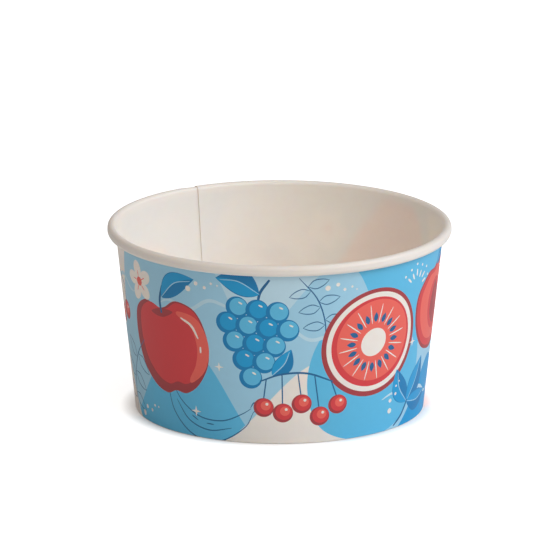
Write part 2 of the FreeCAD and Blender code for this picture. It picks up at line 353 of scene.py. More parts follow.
@dataclass(frozen=True)
class WallForm:
    """Turns places on the flat blank into places on the formed wall.

    On the blank x runs round the cup from the seam's outer end to its inner end, y up the section from
    the hem's cut edge to the curl's, and z through the board from the food side to the printed side.
    """

    sizes: CupSizes
    maker: SectionMaker
    column_step: float = 1.5

    @cached_property
    def single(self) -> SectionPath:
        """The section where the board is alone."""
        return self.maker.draw()

    @cached_property
    def outer(self) -> SectionPath:
        """The section of the seam's outer layer."""
        return self.maker.draw(layer=1)

    @cached_property
    def inner(self) -> SectionPath:
        """The section of the seam's inner layer, whose fold stands on the outer one's."""
        return self.maker.draw(lift=self.sizes.board - self.sizes.fold_press + self.sizes.seal_film)

    @cached_property
    def rows(self) -> np.ndarray:
        """Where the stations lie on the blank, by the length of the board's middle.

        Returns:
            Each station's distance from the hem's cut edge.
        """
        food, printed = np.array(self.single.food), np.array(self.single.printed)
        middle = (food + printed) / 2
        return np.concatenate(([0], np.cumsum(np.linalg.norm(np.diff(middle, axis=0), axis=1))))

    @property
    def cone_rows(self) -> tuple[float, float]:
        """Where the cone starts and ends on the blank."""
        first, last = self.maker.cone_stations
        return self.rows[first], self.rows[last]

    @property
    def mid_radius(self) -> float:
        """The radius whose arc is a length on the blank."""
        return (self.sizes.foot_radius + self.sizes.head[0]) / 2

    @property
    def turns(self) -> tuple[float, ...]:
        """Angles at which the way the board lies changes, from the outer end to the inner end.

        Returns:
            The angles in degrees.
        """
        seam, lap = self.sizes.seam_angle, self.sizes.lap
        return (
            seam - lap,
            seam,
            seam + self.sizes.joggle,
            seam + 360 - lap - self.sizes.joggle,
            seam + 360 - lap,
            seam + 360,
        )

    @cached_property
    def columns(self) -> np.ndarray:
        """Where the blank's upright lines lie.

        Returns:
            Each line's distance from the outer end.
        """
        angles = [self.turns[0]]
        for start, end in zip(self.turns, self.turns[1:]):
            steps = math.ceil((end - start) / self.column_step)
            angles.extend(np.linspace(start, end, steps + 1)[1:])
        return self.across(np.array(angles))

    @property
    def width(self) -> float:
        """Length of the blank round the cup."""
        return float(self.columns[-1])

    @property
    def height(self) -> float:
        """Length of the blank from cut edge to cut edge."""
        return float(self.rows[-1])

    def across(self, angle: np.ndarray | float) -> np.ndarray | float:
        """Finds the place on the blank of an angle round the cup."""
        return np.radians(angle - self.turns[0]) * self.mid_radius

    def around(self, x: np.ndarray) -> np.ndarray:
        """Finds the angle round the cup of a place on the blank."""
        return self.turns[0] + np.degrees(x / self.mid_radius)

    def _on(self, path: SectionPath, flat: np.ndarray, angle: np.ndarray) -> np.ndarray:
        """Puts places of the blank on one section, turned to their angles.

        Args:
            path: The section.
            flat: Places on the blank, one a row.
            angle: Angle round the cup of each place.

        Returns:
            Points and the directions in which the printed side faces, six numbers a row.
        """
        columns = [np.interp(flat[:, 1], self.rows, column) for column in path.table.T]
        depth = flat[:, 2] / self.sizes.board
        radius = columns[0] + (columns[2] - columns[0]) * depth
        height = columns[1] + (columns[3] - columns[1]) * depth
        facing, turn = np.radians(columns[4]), np.radians(angle)
        level = np.cos(facing)
        return np.column_stack((
            radius * np.cos(turn), radius * np.sin(turn), height,
            level * np.cos(turn), level * np.sin(turn), np.sin(facing),
        ))

    def place(self, flat: np.ndarray) -> tuple[np.ndarray, np.ndarray]:
        """Forms the blank.

        Args:
            flat: Places on the blank, one a row.

        Returns:
            Their points on the wall, and the directions in which the printed side faces there.
        """
        angle = self.around(flat[:, 0])
        _, seam, joggle_end, rise, settled, _ = self.turns
        lap = self._on(self.outer, flat, np.minimum(angle, seam))
        body_angle = np.maximum(angle, joggle_end)
        body = self._on(self.single, flat, body_angle)
        under_lap = self._on(self.inner, flat, body_angle)
        body += (under_lap - body) * smooth_step((angle - rise) / (settled - rise))[:, None]
        run = np.clip((angle - seam) / (joggle_end - seam), 0, 1)
        formed = lap + (body - lap) * run[:, None]
        # The joggle is flat, so it shades as one plane, apart from a soft crease where it meets the lap
        crease = 0.3
        facing = lap[:, 3:] + (body - lap)[:, 3:] * smooth_step(run / crease)[:, None]
        return formed[:, :3], facing / np.linalg.norm(facing, axis=1, keepdims=True)


# Outlines that the print is drawn with


CURVE_STEP = 0.55


def counterclockwise(outline: Outline) -> Outline:
    """Turns an outline round if it runs clockwise, because a field of ink lies on its left.

    Args:
        outline: The outline, which may run either way.

    Returns:
        The same outline, counterclockwise.
    """
    x, y = outline.T
    area = np.dot(x, np.roll(y, -1)) - np.dot(y, np.roll(x, -1))
    return outline if area > 0 else outline[::-1]


def curve(points: list[Place] | Outline, closed: bool = True) -> Outline:
    """Draws a smooth line through a few points.

    Args:
        points: The points in order.
        closed: Whether the line comes back to its start.

    Returns:
        Points about a curve step apart.
    """
    knots = np.array(points, float)
    if closed:
        knots = np.vstack((knots[-1], knots, knots[:2]))
    else:
        knots = np.vstack((2 * knots[0] - knots[1], knots, 2 * knots[-1] - knots[-2]))
    drawn = []
    for before, start, end, after in zip(knots, knots[1:], knots[2:], knots[3:]):
        steps = max(2, math.ceil(np.linalg.norm(end - start) / CURVE_STEP))
        u = (np.arange(steps) / steps)[:, None]
        drawn.append(0.5 * (
            2 * start + (end - before) * u
            + (2 * before - 5 * start + 4 * end - after) * u**2
            + (3 * start - before - 3 * end + after) * u**3
        ))
    if not closed:
        drawn.append(knots[-2:-1])
    return np.vstack(drawn)


def ellipse(centre: Place, radii: tuple[float, float], turn: float = 0.0) -> Outline:
    """Draws an ellipse.

    Args:
        centre: Its middle.
        radii: Half its width and half its height.
        turn: How far it is turned.

    Returns:
        Its outline.
    """
    steps = max(10, math.ceil(2 * math.pi * max(radii) / CURVE_STEP))
    angle = 2 * np.pi * np.arange(steps) / steps
    ring = np.column_stack((radii[0] * np.cos(angle), radii[1] * np.sin(angle)))
    return turned(ring, turn) + centre


def disc(centre: Place, radius: float) -> Outline:
    """Draws a circle round its centre."""
    return ellipse(centre, (radius, radius))


def turned(outline: Outline, angle: float) -> Outline:
    """Turns an outline counterclockwise about the origin."""
    cos, sin = math.cos(math.radians(angle)), math.sin(math.radians(angle))
    return outline @ np.array(((cos, sin), (-sin, cos)))


def stroke(points: list[Place] | Outline, width: float, ends: float = 0.3) -> Outline:
    """Draws a pen line, which swells in its middle.

    Args:
        points: A few points that the line runs through.
        width: Its greatest width.
        ends: The width at its ends, as a share of the greatest.

    Returns:
        The line's outline.
    """
    line = curve(points, closed=False)
    along = np.gradient(line, axis=0)
    along /= np.linalg.norm(along, axis=1, keepdims=True)
    side = np.column_stack((-along[:, 1], along[:, 0]))
    swell = np.sqrt(np.sin(np.pi * np.linspace(0, 1, len(line))))[:, None]
    half = width / 2 * (ends + (1 - ends) * swell)
    return np.vstack((line + side * half, (line - side * half)[::-1]))


def leaf(base: Place, tip: Place, widths: tuple[float, float], bow: float) -> Outline:
    """Draws a leaf, or one half of it.

    Args:
        base: Where it starts.
        tip: Its point.
        widths: How far it bulges to the left and to the right of its midrib.
        bow: How far the midrib bows to the left.

    Returns:
        Its outline.
    """
    start, end = np.array(base, float), np.array(tip, float)
    length = np.linalg.norm(end - start)
    steps = max(8, math.ceil(length / CURVE_STEP))
    u = np.linspace(0, 1, steps + 1)
    # Its sides are a little fuller than a sine, most of all before its middle
    skew, fullness = 0.85, 0.9
    full = np.sin(np.pi * u**skew) ** fullness
    bend = 4 * u * (1 - u) * bow
    along = (end - start) / length
    side = np.array((-along[1], along[0]))
    rib = start + np.outer(u * length, along) + np.outer(bend, side)
    left = rib + np.outer(full * widths[0], side)
    right = rib - np.outer(full * widths[1], side)
    return np.vstack((right, left[-2:0:-1]))


# Motifs of the print. Each is drawn at the size in millimetres that it is asked for.


LINE = 0.45
FINE_LINE = 0.35


def put(scale: float, *places: Place) -> list[Place]:
    """Scales places from a motif's own units to millimetres."""
    return [(scale * x, scale * y) for x, y in places]


def two_tone_leaf(base: Place, tip: Place, width: float, bow: float = 0.0) -> Patches:
    """Draws a leaf whose one half is lighter, with a fine midrib.

    Args:
        base: Where it starts.
        tip: Its point.
        width: Its greatest width.
        bow: How far the midrib bows to the left.

    Returns:
        The leaf's patches.
    """
    (x0, y0), (x1, y1) = base, tip
    length = math.hypot(x1 - x0, y1 - y0)
    side = (-(y1 - y0) / length * bow, (x1 - x0) / length * bow)
    middle = ((x0 + x1) / 2 + side[0], (y0 + y1) / 2 + side[1])
    rib_share, light_share = 0.9, 0.92
    rib_end = (x0 + rib_share * (x1 - x0), y0 + rib_share * (y1 - y0))
    return [
        (Face.DEEP_BLUE, leaf(base, tip, (width / 2, width / 2), bow)),
        (Face.STRONG_BLUE, leaf(base, tip, (width / 2 * light_share, 0.05), bow)),
        (Face.LIGHT_BLUE, stroke([base, middle, rib_end], FINE_LINE)),
    ]


def apple(size: float) -> Patches:
    """Draws a round apple with a shaded side, a stalk and a leaf.

    Args:
        size: How wide the motif is.

    Returns:
        Its fields of ink, from the lowest layer up.
    """
    s = size / 23
    body = curve(put(
        s, (11.4, 1.5), (9.8, 7.3), (5.2, 9.7), (1.2, 8.3), (-1.2, 8.3), (-5.2, 9.7), (-9.8, 7.3),
        (-11.4, 1.5), (-10.4, -4.6), (-6.9, -9.3), (-3.0, -11.3), (0, -10.7), (3.0, -11.3), (6.9, -9.3),
        (10.4, -4.6),
    ))
    cheek = put(s, (4.6, 7.2), (8.9, 4.6), (9.9, -0.6), (8.2, -5.4), (4.6, -8.8))
    return [
        (Face.DARK_RED, body),
        (Face.RED, 0.88 * body + (0.9 * s, 0.75 * s)),
        (Face.CORAL, stroke(cheek, 3.0 * s, 0.1)),
        (Face.DARK_RED, curve(put(s, (-3.4, 7.2), (0, 6.0), (3.6, 7.2), (0, 8.0)))),
        (Face.BARE, stroke(put(s, (5.6, 6.0), (8.1, 4.1), (9.2, 1.0)), 0.9)),
        (Face.BARE, stroke(put(s, (9.3, -0.8), (9.0, -2.2)), 0.7, 0.6)),
        (Face.LINE_BLUE, stroke(put(s, (0, 6.9), (0.3, 10.0), (1.9, 13.2)), 1.0, 0.7)),
        *two_tone_leaf(*put(s, (1.0, 10.6), (11.5, 14.6)), s * 5.2, s * 1.3),
    ]


def round_slice(size: float) -> Patches:
    """Draws a round slice of fruit: rind, pale ring, flesh with rays, core and a ring of seeds.

    Args:
        size: How wide the motif is.

    Returns:
        Its fields of ink, from the lowest layer up.
    """
    s = size / 27
    rays = 16
    drawn: Patches = [
        (Face.DARK_RED, ellipse(*put(s, (0, 0), (13.5, 13.1)))),
        (Face.BARE, ellipse(*put(s, (0.1, 0.1), (12.4, 12.0)))),
        (Face.RED, ellipse(*put(s, (0.1, 0.1), (11.2, 10.8)))),
        (Face.CORAL, ellipse(*put(s, (0.5, 0.4), (10.2, 9.8)))),
        (Face.BARE, ellipse(*put(s, (0, 0), (3.6, 3.3)), 20)),
    ]
    ray = stroke(put(s, (4.6, 0), (9.3, 0)), 0.4, 0.2)
    seed = leaf(*put(s, (4.9, 0), (7.3, 0), (0.62, 0.62)), 0)
    for angle in np.arange(rays) * 360 / rays:
        drawn.append((Face.BARE, turned(ray, angle)))
        drawn.append((Face.LINE_BLUE, turned(seed, angle + 180 / rays)))
    return drawn


def grapes(size: float) -> Patches:
    """Draws a hanging bunch of grapes under a lobed leaf.

    Args:
        size: How wide the motif is.

    Returns:
        Its fields of ink, from the lowest layer up.
    """
    s = size / 26
    radius = 2.95 * s
    drawn: Patches = [
        (Face.LINE_BLUE, stroke(put(s, (0, 2), (0.4, 5), (2.4, 8.6)), 0.95, 0.7)),
        *two_tone_leaf(*put(s, (0.2, 4.4), (-11.5, 6.8)), 7.0 * s, -1.4 * s),
    ]
    for row, count in enumerate((3, 4, 3, 2, 1)):
        for number in range(count):
            x = (number - (count - 1) / 2) * 5.2 * s + (row % 2) * 0.4 * s
            y = -row * 4.6 * s
            lit = Face.STRONG_BLUE if (number + row) % 2 else Face.MID_BLUE
            drawn.append((Face.DEEP_BLUE, disc((x, y), radius)))
            drawn.append((lit, disc((x + 0.35 * s, y + 0.3 * s), 0.78 * radius)))
            glint = stroke([(x + 0.3 * s, y + 1.5 * s), (x + 1.3 * s, y + 1.1 * s)], 0.6, 0.6)
            drawn.append((Face.BARE, glint))
    return drawn


def berry_twig(size: float) -> Patches:
    """Draws a twig of small round berries.

    Args:
        size: How wide the motif is.

    Returns:
        Its fields of ink, from the lowest layer up.
    """
    s = size / 22
    drawn: Patches = [
        *two_tone_leaf(*put(s, (-6.5, 7.0), (-1.0, 14.2)), 5.0 * s, -0.8 * s),
        (Face.LINE_BLUE, stroke(put(s, (-10, 5.4), (-4, 7.2), (3, 6.8), (9.9, 3.4)), 0.7, 0.5)),
    ]
    hung = (
        ((-8.2, 6.1), (-9.4, -0.6)), ((-3.9, 7.2), (-4.3, -2.4)), ((0.4, 7.1), (0.9, -0.2)),
        ((4.9, 6.2), (5.6, -4.4)), ((9.4, 3.7), (10.9, -1.9)),
    )
    for stem in hung:
        drawn.append((Face.LINE_BLUE, stroke(put(s, *stem), LINE, 0.8)))
    rounds = (
        (Face.DARK_RED, 0, 0, 2.75), (Face.RED, 0.3, 0.25, 2.3), (Face.CORAL, 0.6, 0.5, 1.35),
        (Face.BARE, 0.95, 0.95, 0.42),
    )
    for _, (x, y) in hung:
        for ink, right, up, radius in rounds:
            drawn.append((ink, disc((x * s + right * s, (y - 1.6) * s + up * s), radius * s)))
    return drawn


def apricot(size: float) -> Patches:
    """Draws half an apricot, cut open round its stone.

    Args:
        size: How wide the motif is.

    Returns:
        Its fields of ink, from the lowest layer up.
    """
    s = size / 25
    skin = curve(put(
        s, (12.3, 0), (10.3, 6.9), (4.5, 10.4), (0, 9.9), (-4.5, 10.6), (-10.5, 7.2), (-12.4, 0),
        (-10.2, -7.0), (-4.4, -10.9), (1.5, -11.2), (7.4, -9.0), (11.2, -5.0),
    ))
    return [
        (Face.DARK_RED, skin),
        (Face.RED, 0.95 * skin + (0.2 * s, 0.2 * s)),
        (Face.CORAL, 0.82 * skin + (0.3 * s, 0.3 * s)),
        (Face.RED, ellipse(*put(s, (0, -0.3), (5.4, 6.7)), -8)),
        (Face.DARK_RED, leaf(*put(s, (-0.6, -6.0), (1.0, 5.6), (4.0, 3.8)), 0)),
        (Face.RED, stroke(put(s, (-0.5, -4.4), (0.4, -0.4), (0.8, 4.0)), 0.6)),
        (Face.CORAL, stroke(put(s, (2.1, -2.6), (2.9, -0.2), (2.5, 2.4)), 0.6)),
        (Face.BARE, stroke(put(s, (5.4, 7.4), (8.2, 5.0), (9.2, 2.2)), 0.8)),
        *two_tone_leaf(*put(s, (2.0, 9.6), (11.5, 14.8)), 4.8 * s, -1.0 * s),
    ]


def blossom(size: float) -> Patches:
    """Draws a flower of five petals.

    Args:
        size: How wide the motif is.

    Returns:
        Its fields of ink, from the lowest layer up.
    """
    s = size / 11
    petal = ellipse(*put(s, (3.3, 0), (2.4, 1.85)))
    thread = stroke(put(s, (1.2, 0), (3.0, 0)), FINE_LINE, 0.4)
    drawn: Patches = []
    for angle in range(90, 450, 72):
        drawn.append((Face.BARE, turned(petal, angle)))
        drawn.append((Face.CORAL, turned(thread, angle)))
    drawn.append((Face.CORAL, disc((0, 0), 1.25 * s)))
    return drawn


def banana_line(size: float) -> Patches:
    """Draws a banana as a few open pen lines.

    Args:
        size: How wide the motif is.

    Returns:
        Its fields of ink, from the lowest layer up.
    """
    lines = (
        ((-13.6, 5.2), (-10.4, -2.4), (-3.4, -7.2), (5.0, -6.8), (11.8, -1.4), (13.9, 3.6)),
        ((-13.6, 5.2), (-12.4, 6.3), (-11.6, 5.4)),
        ((-11.8, 5.6), (-7.6, 1.4), (-1.4, -1.2), (5.4, -0.6), (10.6, 2.4), (13.2, 4.6)),
        ((-9.8, 1.4), (-5.0, -3.2), (1.6, -4.4), (8.2, -2.2)),
        ((13.0, 4.8), (13.8, 6.4), (15.0, 5.9), (13.9, 3.4)),
        ((-4.2, -1.6), (-2.0, -2.5)),
        ((0.6, -2.6), (3.0, -2.4)),
    )
    return [(Face.LINE_BLUE, stroke(put(size / 29, *line), LINE)) for line in lines]


def sprig_line(size: float) -> Patches:
    """Draws a sprig of leaves as open pen lines.

    Args:
        size: How wide the motif is.

    Returns:
        Its fields of ink, from the lowest layer up.
    """
    s = size / 26
    drawn: Patches = [(Face.LINE_BLUE, stroke(put(s, (-13, -3), (-4, 0.6), (5, 0.8), (13, -1.5)), LINE))]
    stems = (
        (-9.0, -1.2, 118), (-7.2, -0.5, -62), (-2.6, 0.7, 112), (-0.6, 0.9, -66), (4.2, 0.9, 104),
        (6.0, 0.6, -72),
    )
    for x, y, angle in stems:
        for bulge in (1.5, -1.5):
            edge = np.array(((0.2, 0.05 * bulge), (2.6, bulge), (5.4, 0.75 * bulge), (7.6, 0)))
            points = turned(edge * s, angle - 30) + (x * s, y * s)
            drawn.append((Face.LINE_BLUE, stroke(points, FINE_LINE)))
    return drawn


def leaf_group(size: float) -> Patches:
    """Draws three broad leaves that spread from one stalk.

    Args:
        size: How wide the motif is.

    Returns:
        Its fields of ink, from the lowest layer up.
    """
    s = size / 24
    leaves = (((-10.5, 7.5), 6.6, 1.3), ((1.8, 14.0), 7.4, -0.9), ((11.8, 5.6), 6.2, -1.2))
    drawn: Patches = []
    for tip, width, bow in leaves:
        drawn += two_tone_leaf(*put(s, (0, 0), tip), width * s, bow * s)
    drawn.append((Face.LINE_BLUE, stroke(put(s, (0, 0.6), (-0.6, -4.0), (-2.6, -8.0)), 0.8, 0.5)))
    return drawn


def dashes(size: float) -> Patches:
    """Draws a fan of short dashes with a few dots beyond them.

    Args:
        size: How wide the motif is.

    Returns:
        Its fields of ink, from the lowest layer up.
    """
    s = size / 12
    drawn: Patches = []
    for number, angle in enumerate(range(35, 160, 24)):
        inner = (3.6 + 0.5 * (number % 2)) * s
        drawn.append((Face.BARE, turned(stroke([(inner, 0), (inner + 2.2 * s, 0)], 0.7, 0.6), angle)))
        drawn.append((Face.BARE, turned(disc((inner + 3.9 * s, 0.2 * s), 0.42 * s), angle)))
    return drawn


def dots(size: float) -> Patches:
    """Draws a loose row of dots that get smaller.

    Args:
        size: How wide the motif is.

    Returns:
        Its fields of ink, from the lowest layer up.
    """
    s = size / 12
    row = ((-5.4, -1.2, 0.95), (-2.3, 0.7, 0.7), (0.6, -0.5, 0.55), (3.0, 0.9, 0.42), (5.0, 0.3, 0.3))
    return [(Face.BARE, disc((x * s, y * s), radius * s)) for x, y, radius in row]


def star(size: float) -> Patches:
    """Draws a small glint with four hollow sides.

    Args:
        size: How wide the motif is.

    Returns:
        Its fields of ink, from the lowest layer up.
    """
    s = size / 2
    angles = np.radians(np.arange(0, 360, 45))
    reach = np.where(np.arange(8) % 2, 0.27, 1.0)
    return [(Face.BARE, s * np.column_stack((reach * np.cos(angles), reach * np.sin(angles))))]


def ripple(size: float) -> Patches:
    """Draws a long pale wave line.

    Args:
        size: How wide the motif is.

    Returns:
        Its fields of ink, from the lowest layer up.
    """
    reach, wave, swing = size / 2, 17, 1.5
    x = np.linspace(-reach, reach, 17)
    y = swing * np.sin(x * 2 * np.pi / wave)
    return [(Face.PALE_BLUE, stroke(np.column_stack((x, y)), 1.3, 0.1))]


def round_field(ink: Face, size: float) -> Patches:
    """Draws a large, slightly uneven round field.

    Args:
        ink: What it is printed in.
        size: How wide it is.

    Returns:
        The one field of ink.
    """
    r = size / 2
    wobble = (1.0, 1.05, 0.97, 1.03, 0.98, 1.04, 0.96, 1.02)
    ring = [
        (r * k * math.cos(math.radians(45 * number)), r * k * math.sin(math.radians(45 * number)))
        for number, k in enumerate(wobble)
    ]
    return [(ink, curve(ring))]


@dataclass(frozen=True)
class Swell:
    """A field that rises from the print's lower edge, or hangs from its upper one, in a soft wave.

    Attributes:
        ink: What it is printed in.
        around: Angle of its middle.
        spread: Half its width as an angle.
        reach: How far it comes from the edge.
        shift: How far its crest leans round the cup, as a share of the spread.
        hangs: Whether it hangs from the upper edge.
    """

    ink: Face
    around: float
    spread: float
    reach: float
    shift: float = 0.0
    hangs: bool = False

    def outline(self, form: WallForm, low: float, high: float, turns: int) -> Outline:
        """Draws the field on the blank.

        Args:
            form: The wall's form.
            low: The print's lower edge on the blank.
            high: Its upper edge.
            turns: How many turns on the copy lies.

        Returns:
            Its outline.
        """
        steps = math.ceil(2 * math.radians(self.spread) * form.mid_radius / CURVE_STEP)
        share = np.linspace(-1, 1, steps + 1)
        crest = np.cos(np.pi / 2 * share) ** 2
        x = share + self.shift * crest
        edge, way = (high, -1) if self.hangs else (low, 1)
        # Its straight side lies beyond the print, and not on the line of another field's
        beyond = 1 + self.around / 1000
        y = edge + way * (self.reach * crest - beyond)
        return np.column_stack((form.across(self.around + 360 * turns + x * self.spread), y))


@dataclass(frozen=True)
class Motif:
    """A motif and its place in the print.

    Attributes:
        draw: The function that draws it at a size.
        size: How wide it is in millimetres.
        around: Angle of its middle.
        up: Height of its middle above the foot, along the wall.
        turn: How far it is turned counterclockwise.
    """

    draw: Callable[[float], Patches]
    size: float
    around: float
    up: float
    turn: float = 0.0


@dataclass
class Print:
    """The print of the blank: fields of blue, coral and bare board, and fruit, leaves and flowers on them.

    It is a general design in layers, in which what comes later covers what comes before.

    Attributes:
        form: The wall's form.
        slip: How far the two ends of the print miss each other at the seam.
        under_roll: How far the print runs on behind the rim's roll.
        round_fold: How far it runs on round the foot's fold.
        fields: The large fields of colour.
        motifs: What lies on them.
    """

    form: WallForm
    slip: float = 0.35
    under_roll: float = 1.1
    round_fold: float = 0.1
    fields: tuple[Swell, ...] = (
        Swell(Face.MID_BLUE, 228, 40, 33, 0.12),
        Swell(Face.MID_BLUE, 326, 33, 44, -0.1, hangs=True),
        Swell(Face.BARE, 281, 38, 30, 0.15),
        Swell(Face.BARE, 183, 20, 32, 0.2, hangs=True),
        Swell(Face.PALE_BLUE, 266, 24, 24, -0.2, hangs=True),
        Swell(Face.STRONG_BLUE, 346, 26, 22, 0.1),
        Swell(Face.CORAL, 44, 54, 64, -0.05),
        Swell(Face.BARE, 6, 22, 30, 0.1, hangs=True),
        Swell(Face.MID_BLUE, 66, 26, 24, 0.1),
        Swell(Face.PALE_BLUE, 82, 24, 30, 0.1, hangs=True),
        Swell(Face.BARE, 101, 28, 25, 0.2),
        Swell(Face.MID_BLUE, 134, 34, 42, 0.1, hangs=True),
        Swell(Face.STRONG_BLUE, 151, 30, 20, -0.2),
        Swell(Face.BARE, 180, 22, 27, 0.1),
    )
    # A row holds what draws the motif, its size, angle and height, and how far it is turned
    motifs: tuple[Motif, ...] = tuple(Motif(*row) for row in (
        (partial(round_field, Face.MID_BLUE), 48, 307, 22),
        (partial(round_field, Face.PALE_BLUE), 34, 160, 34), (ripple, 34, 240, 47, 8),
        (ripple, 36, 334, 10, -5), (ripple, 28, 286, 37, -12), (ripple, 34, 92, 34, 5),
        (ripple, 30, 190, 48, -6), (banana_line, 35, 240, 8.5, -8), (sprig_line, 26, 284, 47, -72),
        (apple, 35, 224, 31, 9), (grapes, 34, 262, 47, -6), (round_slice, 39, 307, 33, 10),
        (berry_twig, 27, 277, 16, 4), (leaf_group, 28, 329, 8, -24), (apricot, 34, 348, 39, 18),
        (blossom, 14, 210, 50, 10), (sprig_line, 32, 199, 16, 62), (dashes, 13, 328, 48, -14),
        (dots, 13, 242, 54, 4), (dots, 13, 209, 5, 15), (dots, 12, 320, 12, 60),
        (dots, 12, 293, 54, -16), (star, 4.0, 236, 9), (star, 3.4, 247, 26), (star, 3.6, 329, 29),
        (grapes, 31, 41, 27, 8), (blossom, 14, 12, 14, 20), (leaf_group, 25, 8, 42, 35),
        (apple, 30, 80, 21, -10), (dots, 12, 59, 12, -30), (star, 3.6, 54, 52),
        (banana_line, 40, 106, 43, 6), (apricot, 30, 116, 19, -12), (blossom, 14, 72, 47, 30),
        (star, 3.2, 97, 32), (round_slice, 35, 150, 31, -8), (dashes, 13, 134, 48),
        (leaf_group, 24, 134, 8, 15), (berry_twig, 27, 180, 42, -6), (blossom, 12, 158, 8.5),
        (star, 3.4, 167, 53),
    ))

    @property
    def edges(self) -> tuple[float, float]:
        """The print's lower and upper edge on the blank.

        Returns:
            The height of the lower edge and that of the upper one.
        """
        low, high = self.form.cone_rows
        sizes = self.form.sizes
        roll_end = high - sizes.roll_drop - sizes.roll_radius
        return low - self.round_fold, roll_end + self.under_roll

    def _on_blank(self, motif: Motif, outline: Outline, turns: int) -> Outline:
        """Lays an outline on the cone without stretching it.

        Args:
            motif: The motif that the outline is part of.
            outline: The outline about the motif's own middle.
            turns: How many turns on the copy lies.

        Returns:
            The outline on the blank.
        """
        sizes = self.form.sizes
        taper = math.sin(math.radians(sizes.lean))
        to_apex = sizes.foot_radius / taper + motif.up
        x, y = turned(outline, motif.turn).T
        radius = np.hypot(x, to_apex + y)
        angle = motif.around + 360 * turns + np.degrees(np.arctan2(x, to_apex + y)) / taper
        foot = self.edges[0]
        up = radius - sizes.foot_radius / taper + self.slip * turns
        return np.column_stack((self.form.across(angle), foot + up))

    def _turns_of(self, around: float) -> range:
        """The whole turns after which something at an angle lies on the blank or near its ends.

        Args:
            around: The angle in degrees.

        Returns:
            The numbers of turns.
        """
        near = 40
        first, last = self.form.turns[0] - near, self.form.turns[-1] + near
        return range(math.ceil((first - around) / 360), math.floor((last - around) / 360) + 1)

    def patches(self) -> Patches:
        """Draws everything on the blank, from the lowest layer up.

        Returns:
            The fields of ink, each with its outline on the blank.
        """
        low, high = self.edges
        beyond = 5.0
        left, right = -beyond, self.form.width + beyond
        ground = np.array(((left, low), (right, low), (right, high), (left, high)))
        drawn: Patches = [(Face.LIGHT_BLUE, ground)]
        for swell in self.fields:
            for turns in self._turns_of(swell.around):
                drawn.append((swell.ink, swell.outline(self.form, low, high, turns)))
        for motif in self.motifs:
            for turns in self._turns_of(motif.around):
                for ink, outline in motif.draw(motif.size):
                    drawn.append((ink, self._on_blank(motif, outline, turns)))
        return [(ink, counterclockwise(outline)) for ink, outline in drawn]


# Materials


CARD_MAP = "card"
BAKE_MAP = "OFBake"
THROUGH = "print_behind"


def add_node(tree: Tree, kind: str, inputs: dict | None = None, **settings: object) -> bpy.types.Node:
    """Adds a node with its settings and links.

    Args:
        tree: The node tree.
        kind: The node's type.
        inputs: For each input, by identifier or name, its value or the output that feeds it.
        **settings: Values of the node's own properties.

    Returns:
        The node.
    """
    node = tree.nodes.new(kind)
    for name, value in settings.items():
        setattr(node, name, value)
    sockets = {socket.name: socket for socket in reversed(node.inputs)}
    sockets.update({socket.identifier: socket for socket in node.inputs})
    for name, value in (inputs or {}).items():
        if isinstance(value, Socket):
            tree.links.new(value, sockets[name])
        else:
            sockets[name].default_value = value
    return node


def calc(tree: Tree, operation: str, first: Socket | float, second: Socket | float) -> Socket:
    """Adds a sum, a product or the like of two numbers."""
    inputs = {"Value": first, "Value_001": second}
    return add_node(tree, "ShaderNodeMath", inputs, operation=operation).outputs["Value"]


def blend(tree: Tree, share: Socket | float, low: object, high: object, way: str = "MIX") -> Socket:
    """Adds a blend of two colours, each given as linear values or as the output that feeds it."""
    inputs = {"Factor_Float": share, "A_Color": low, "B_Color": high}
    return add_node(tree, "ShaderNodeMix", inputs, data_type="RGBA", blend_type=way).outputs[2]


def ramp(tree: Tree, value: Socket, start: float, end: float, low: float, high: float) -> Socket:
    """Adds a soft change from a low result to a high one while a value runs from start to end."""
    inputs = {"Value": value, "From Min": start, "From Max": end, "To Min": low, "To Max": high}
    return add_node(tree, "ShaderNodeMapRange", inputs, interpolation_type="SMOOTHSTEP").outputs["Result"]


def noise(tree: Tree, places: Socket, scale: float, detail: float, roughness: float) -> Socket:
    """Adds a noise from 0 to 1."""
    inputs = {"Vector": places, "Scale": scale, "Detail": detail, "Roughness": roughness}
    return add_node(tree, "ShaderNodeTexNoise", inputs).outputs["Fac"]


def stretched(tree: Tree, places: Socket, factors: tuple[float, float, float]) -> Socket:
    """Adds places multiplied along each axis."""
    inputs = {"Vector": places, "Vector_001": factors}
    return add_node(tree, "ShaderNodeVectorMath", inputs, operation="MULTIPLY").outputs["Vector"]


def finish(tree: Tree, inputs: dict) -> None:
    """Adds the surface, given its inputs, and the material's output."""
    shader = add_node(tree, "ShaderNodeBsdfPrincipled", inputs)
    add_node(tree, "ShaderNodeOutputMaterial", {"Surface": shader.outputs["BSDF"]})


def new_material(name: str) -> tuple[bpy.types.Material, Tree]:
    """Makes a material with an empty node tree.

    Args:
        name: The material's name.

    Returns:
        The material and its node tree.
    """
    material = bpy.data.materials.new(name)
    material.use_nodes = True
    material.node_tree.nodes.clear()
    return material, material.node_tree


def card_places(tree: Tree) -> Socket:
    """Places on the flat blank in millimetres, which follow the board round its bends."""
    return add_node(tree, "ShaderNodeUVMap", uv_map=CARD_MAP).outputs["UV"]


def solid_places(tree: Tree) -> Socket:
    """Places in the cup's own frame in millimetres.

    Args:
        tree: The material's node tree.

    Returns:
        The output that gives the places.
    """
    metres = add_node(tree, "ShaderNodeTexCoord").outputs["Object"]
    scaled = add_node(tree, "ShaderNodeVectorMath", {"Vector": metres, "Scale": 1 / MM}, operation="SCALE")
    return scaled.outputs["Vector"]


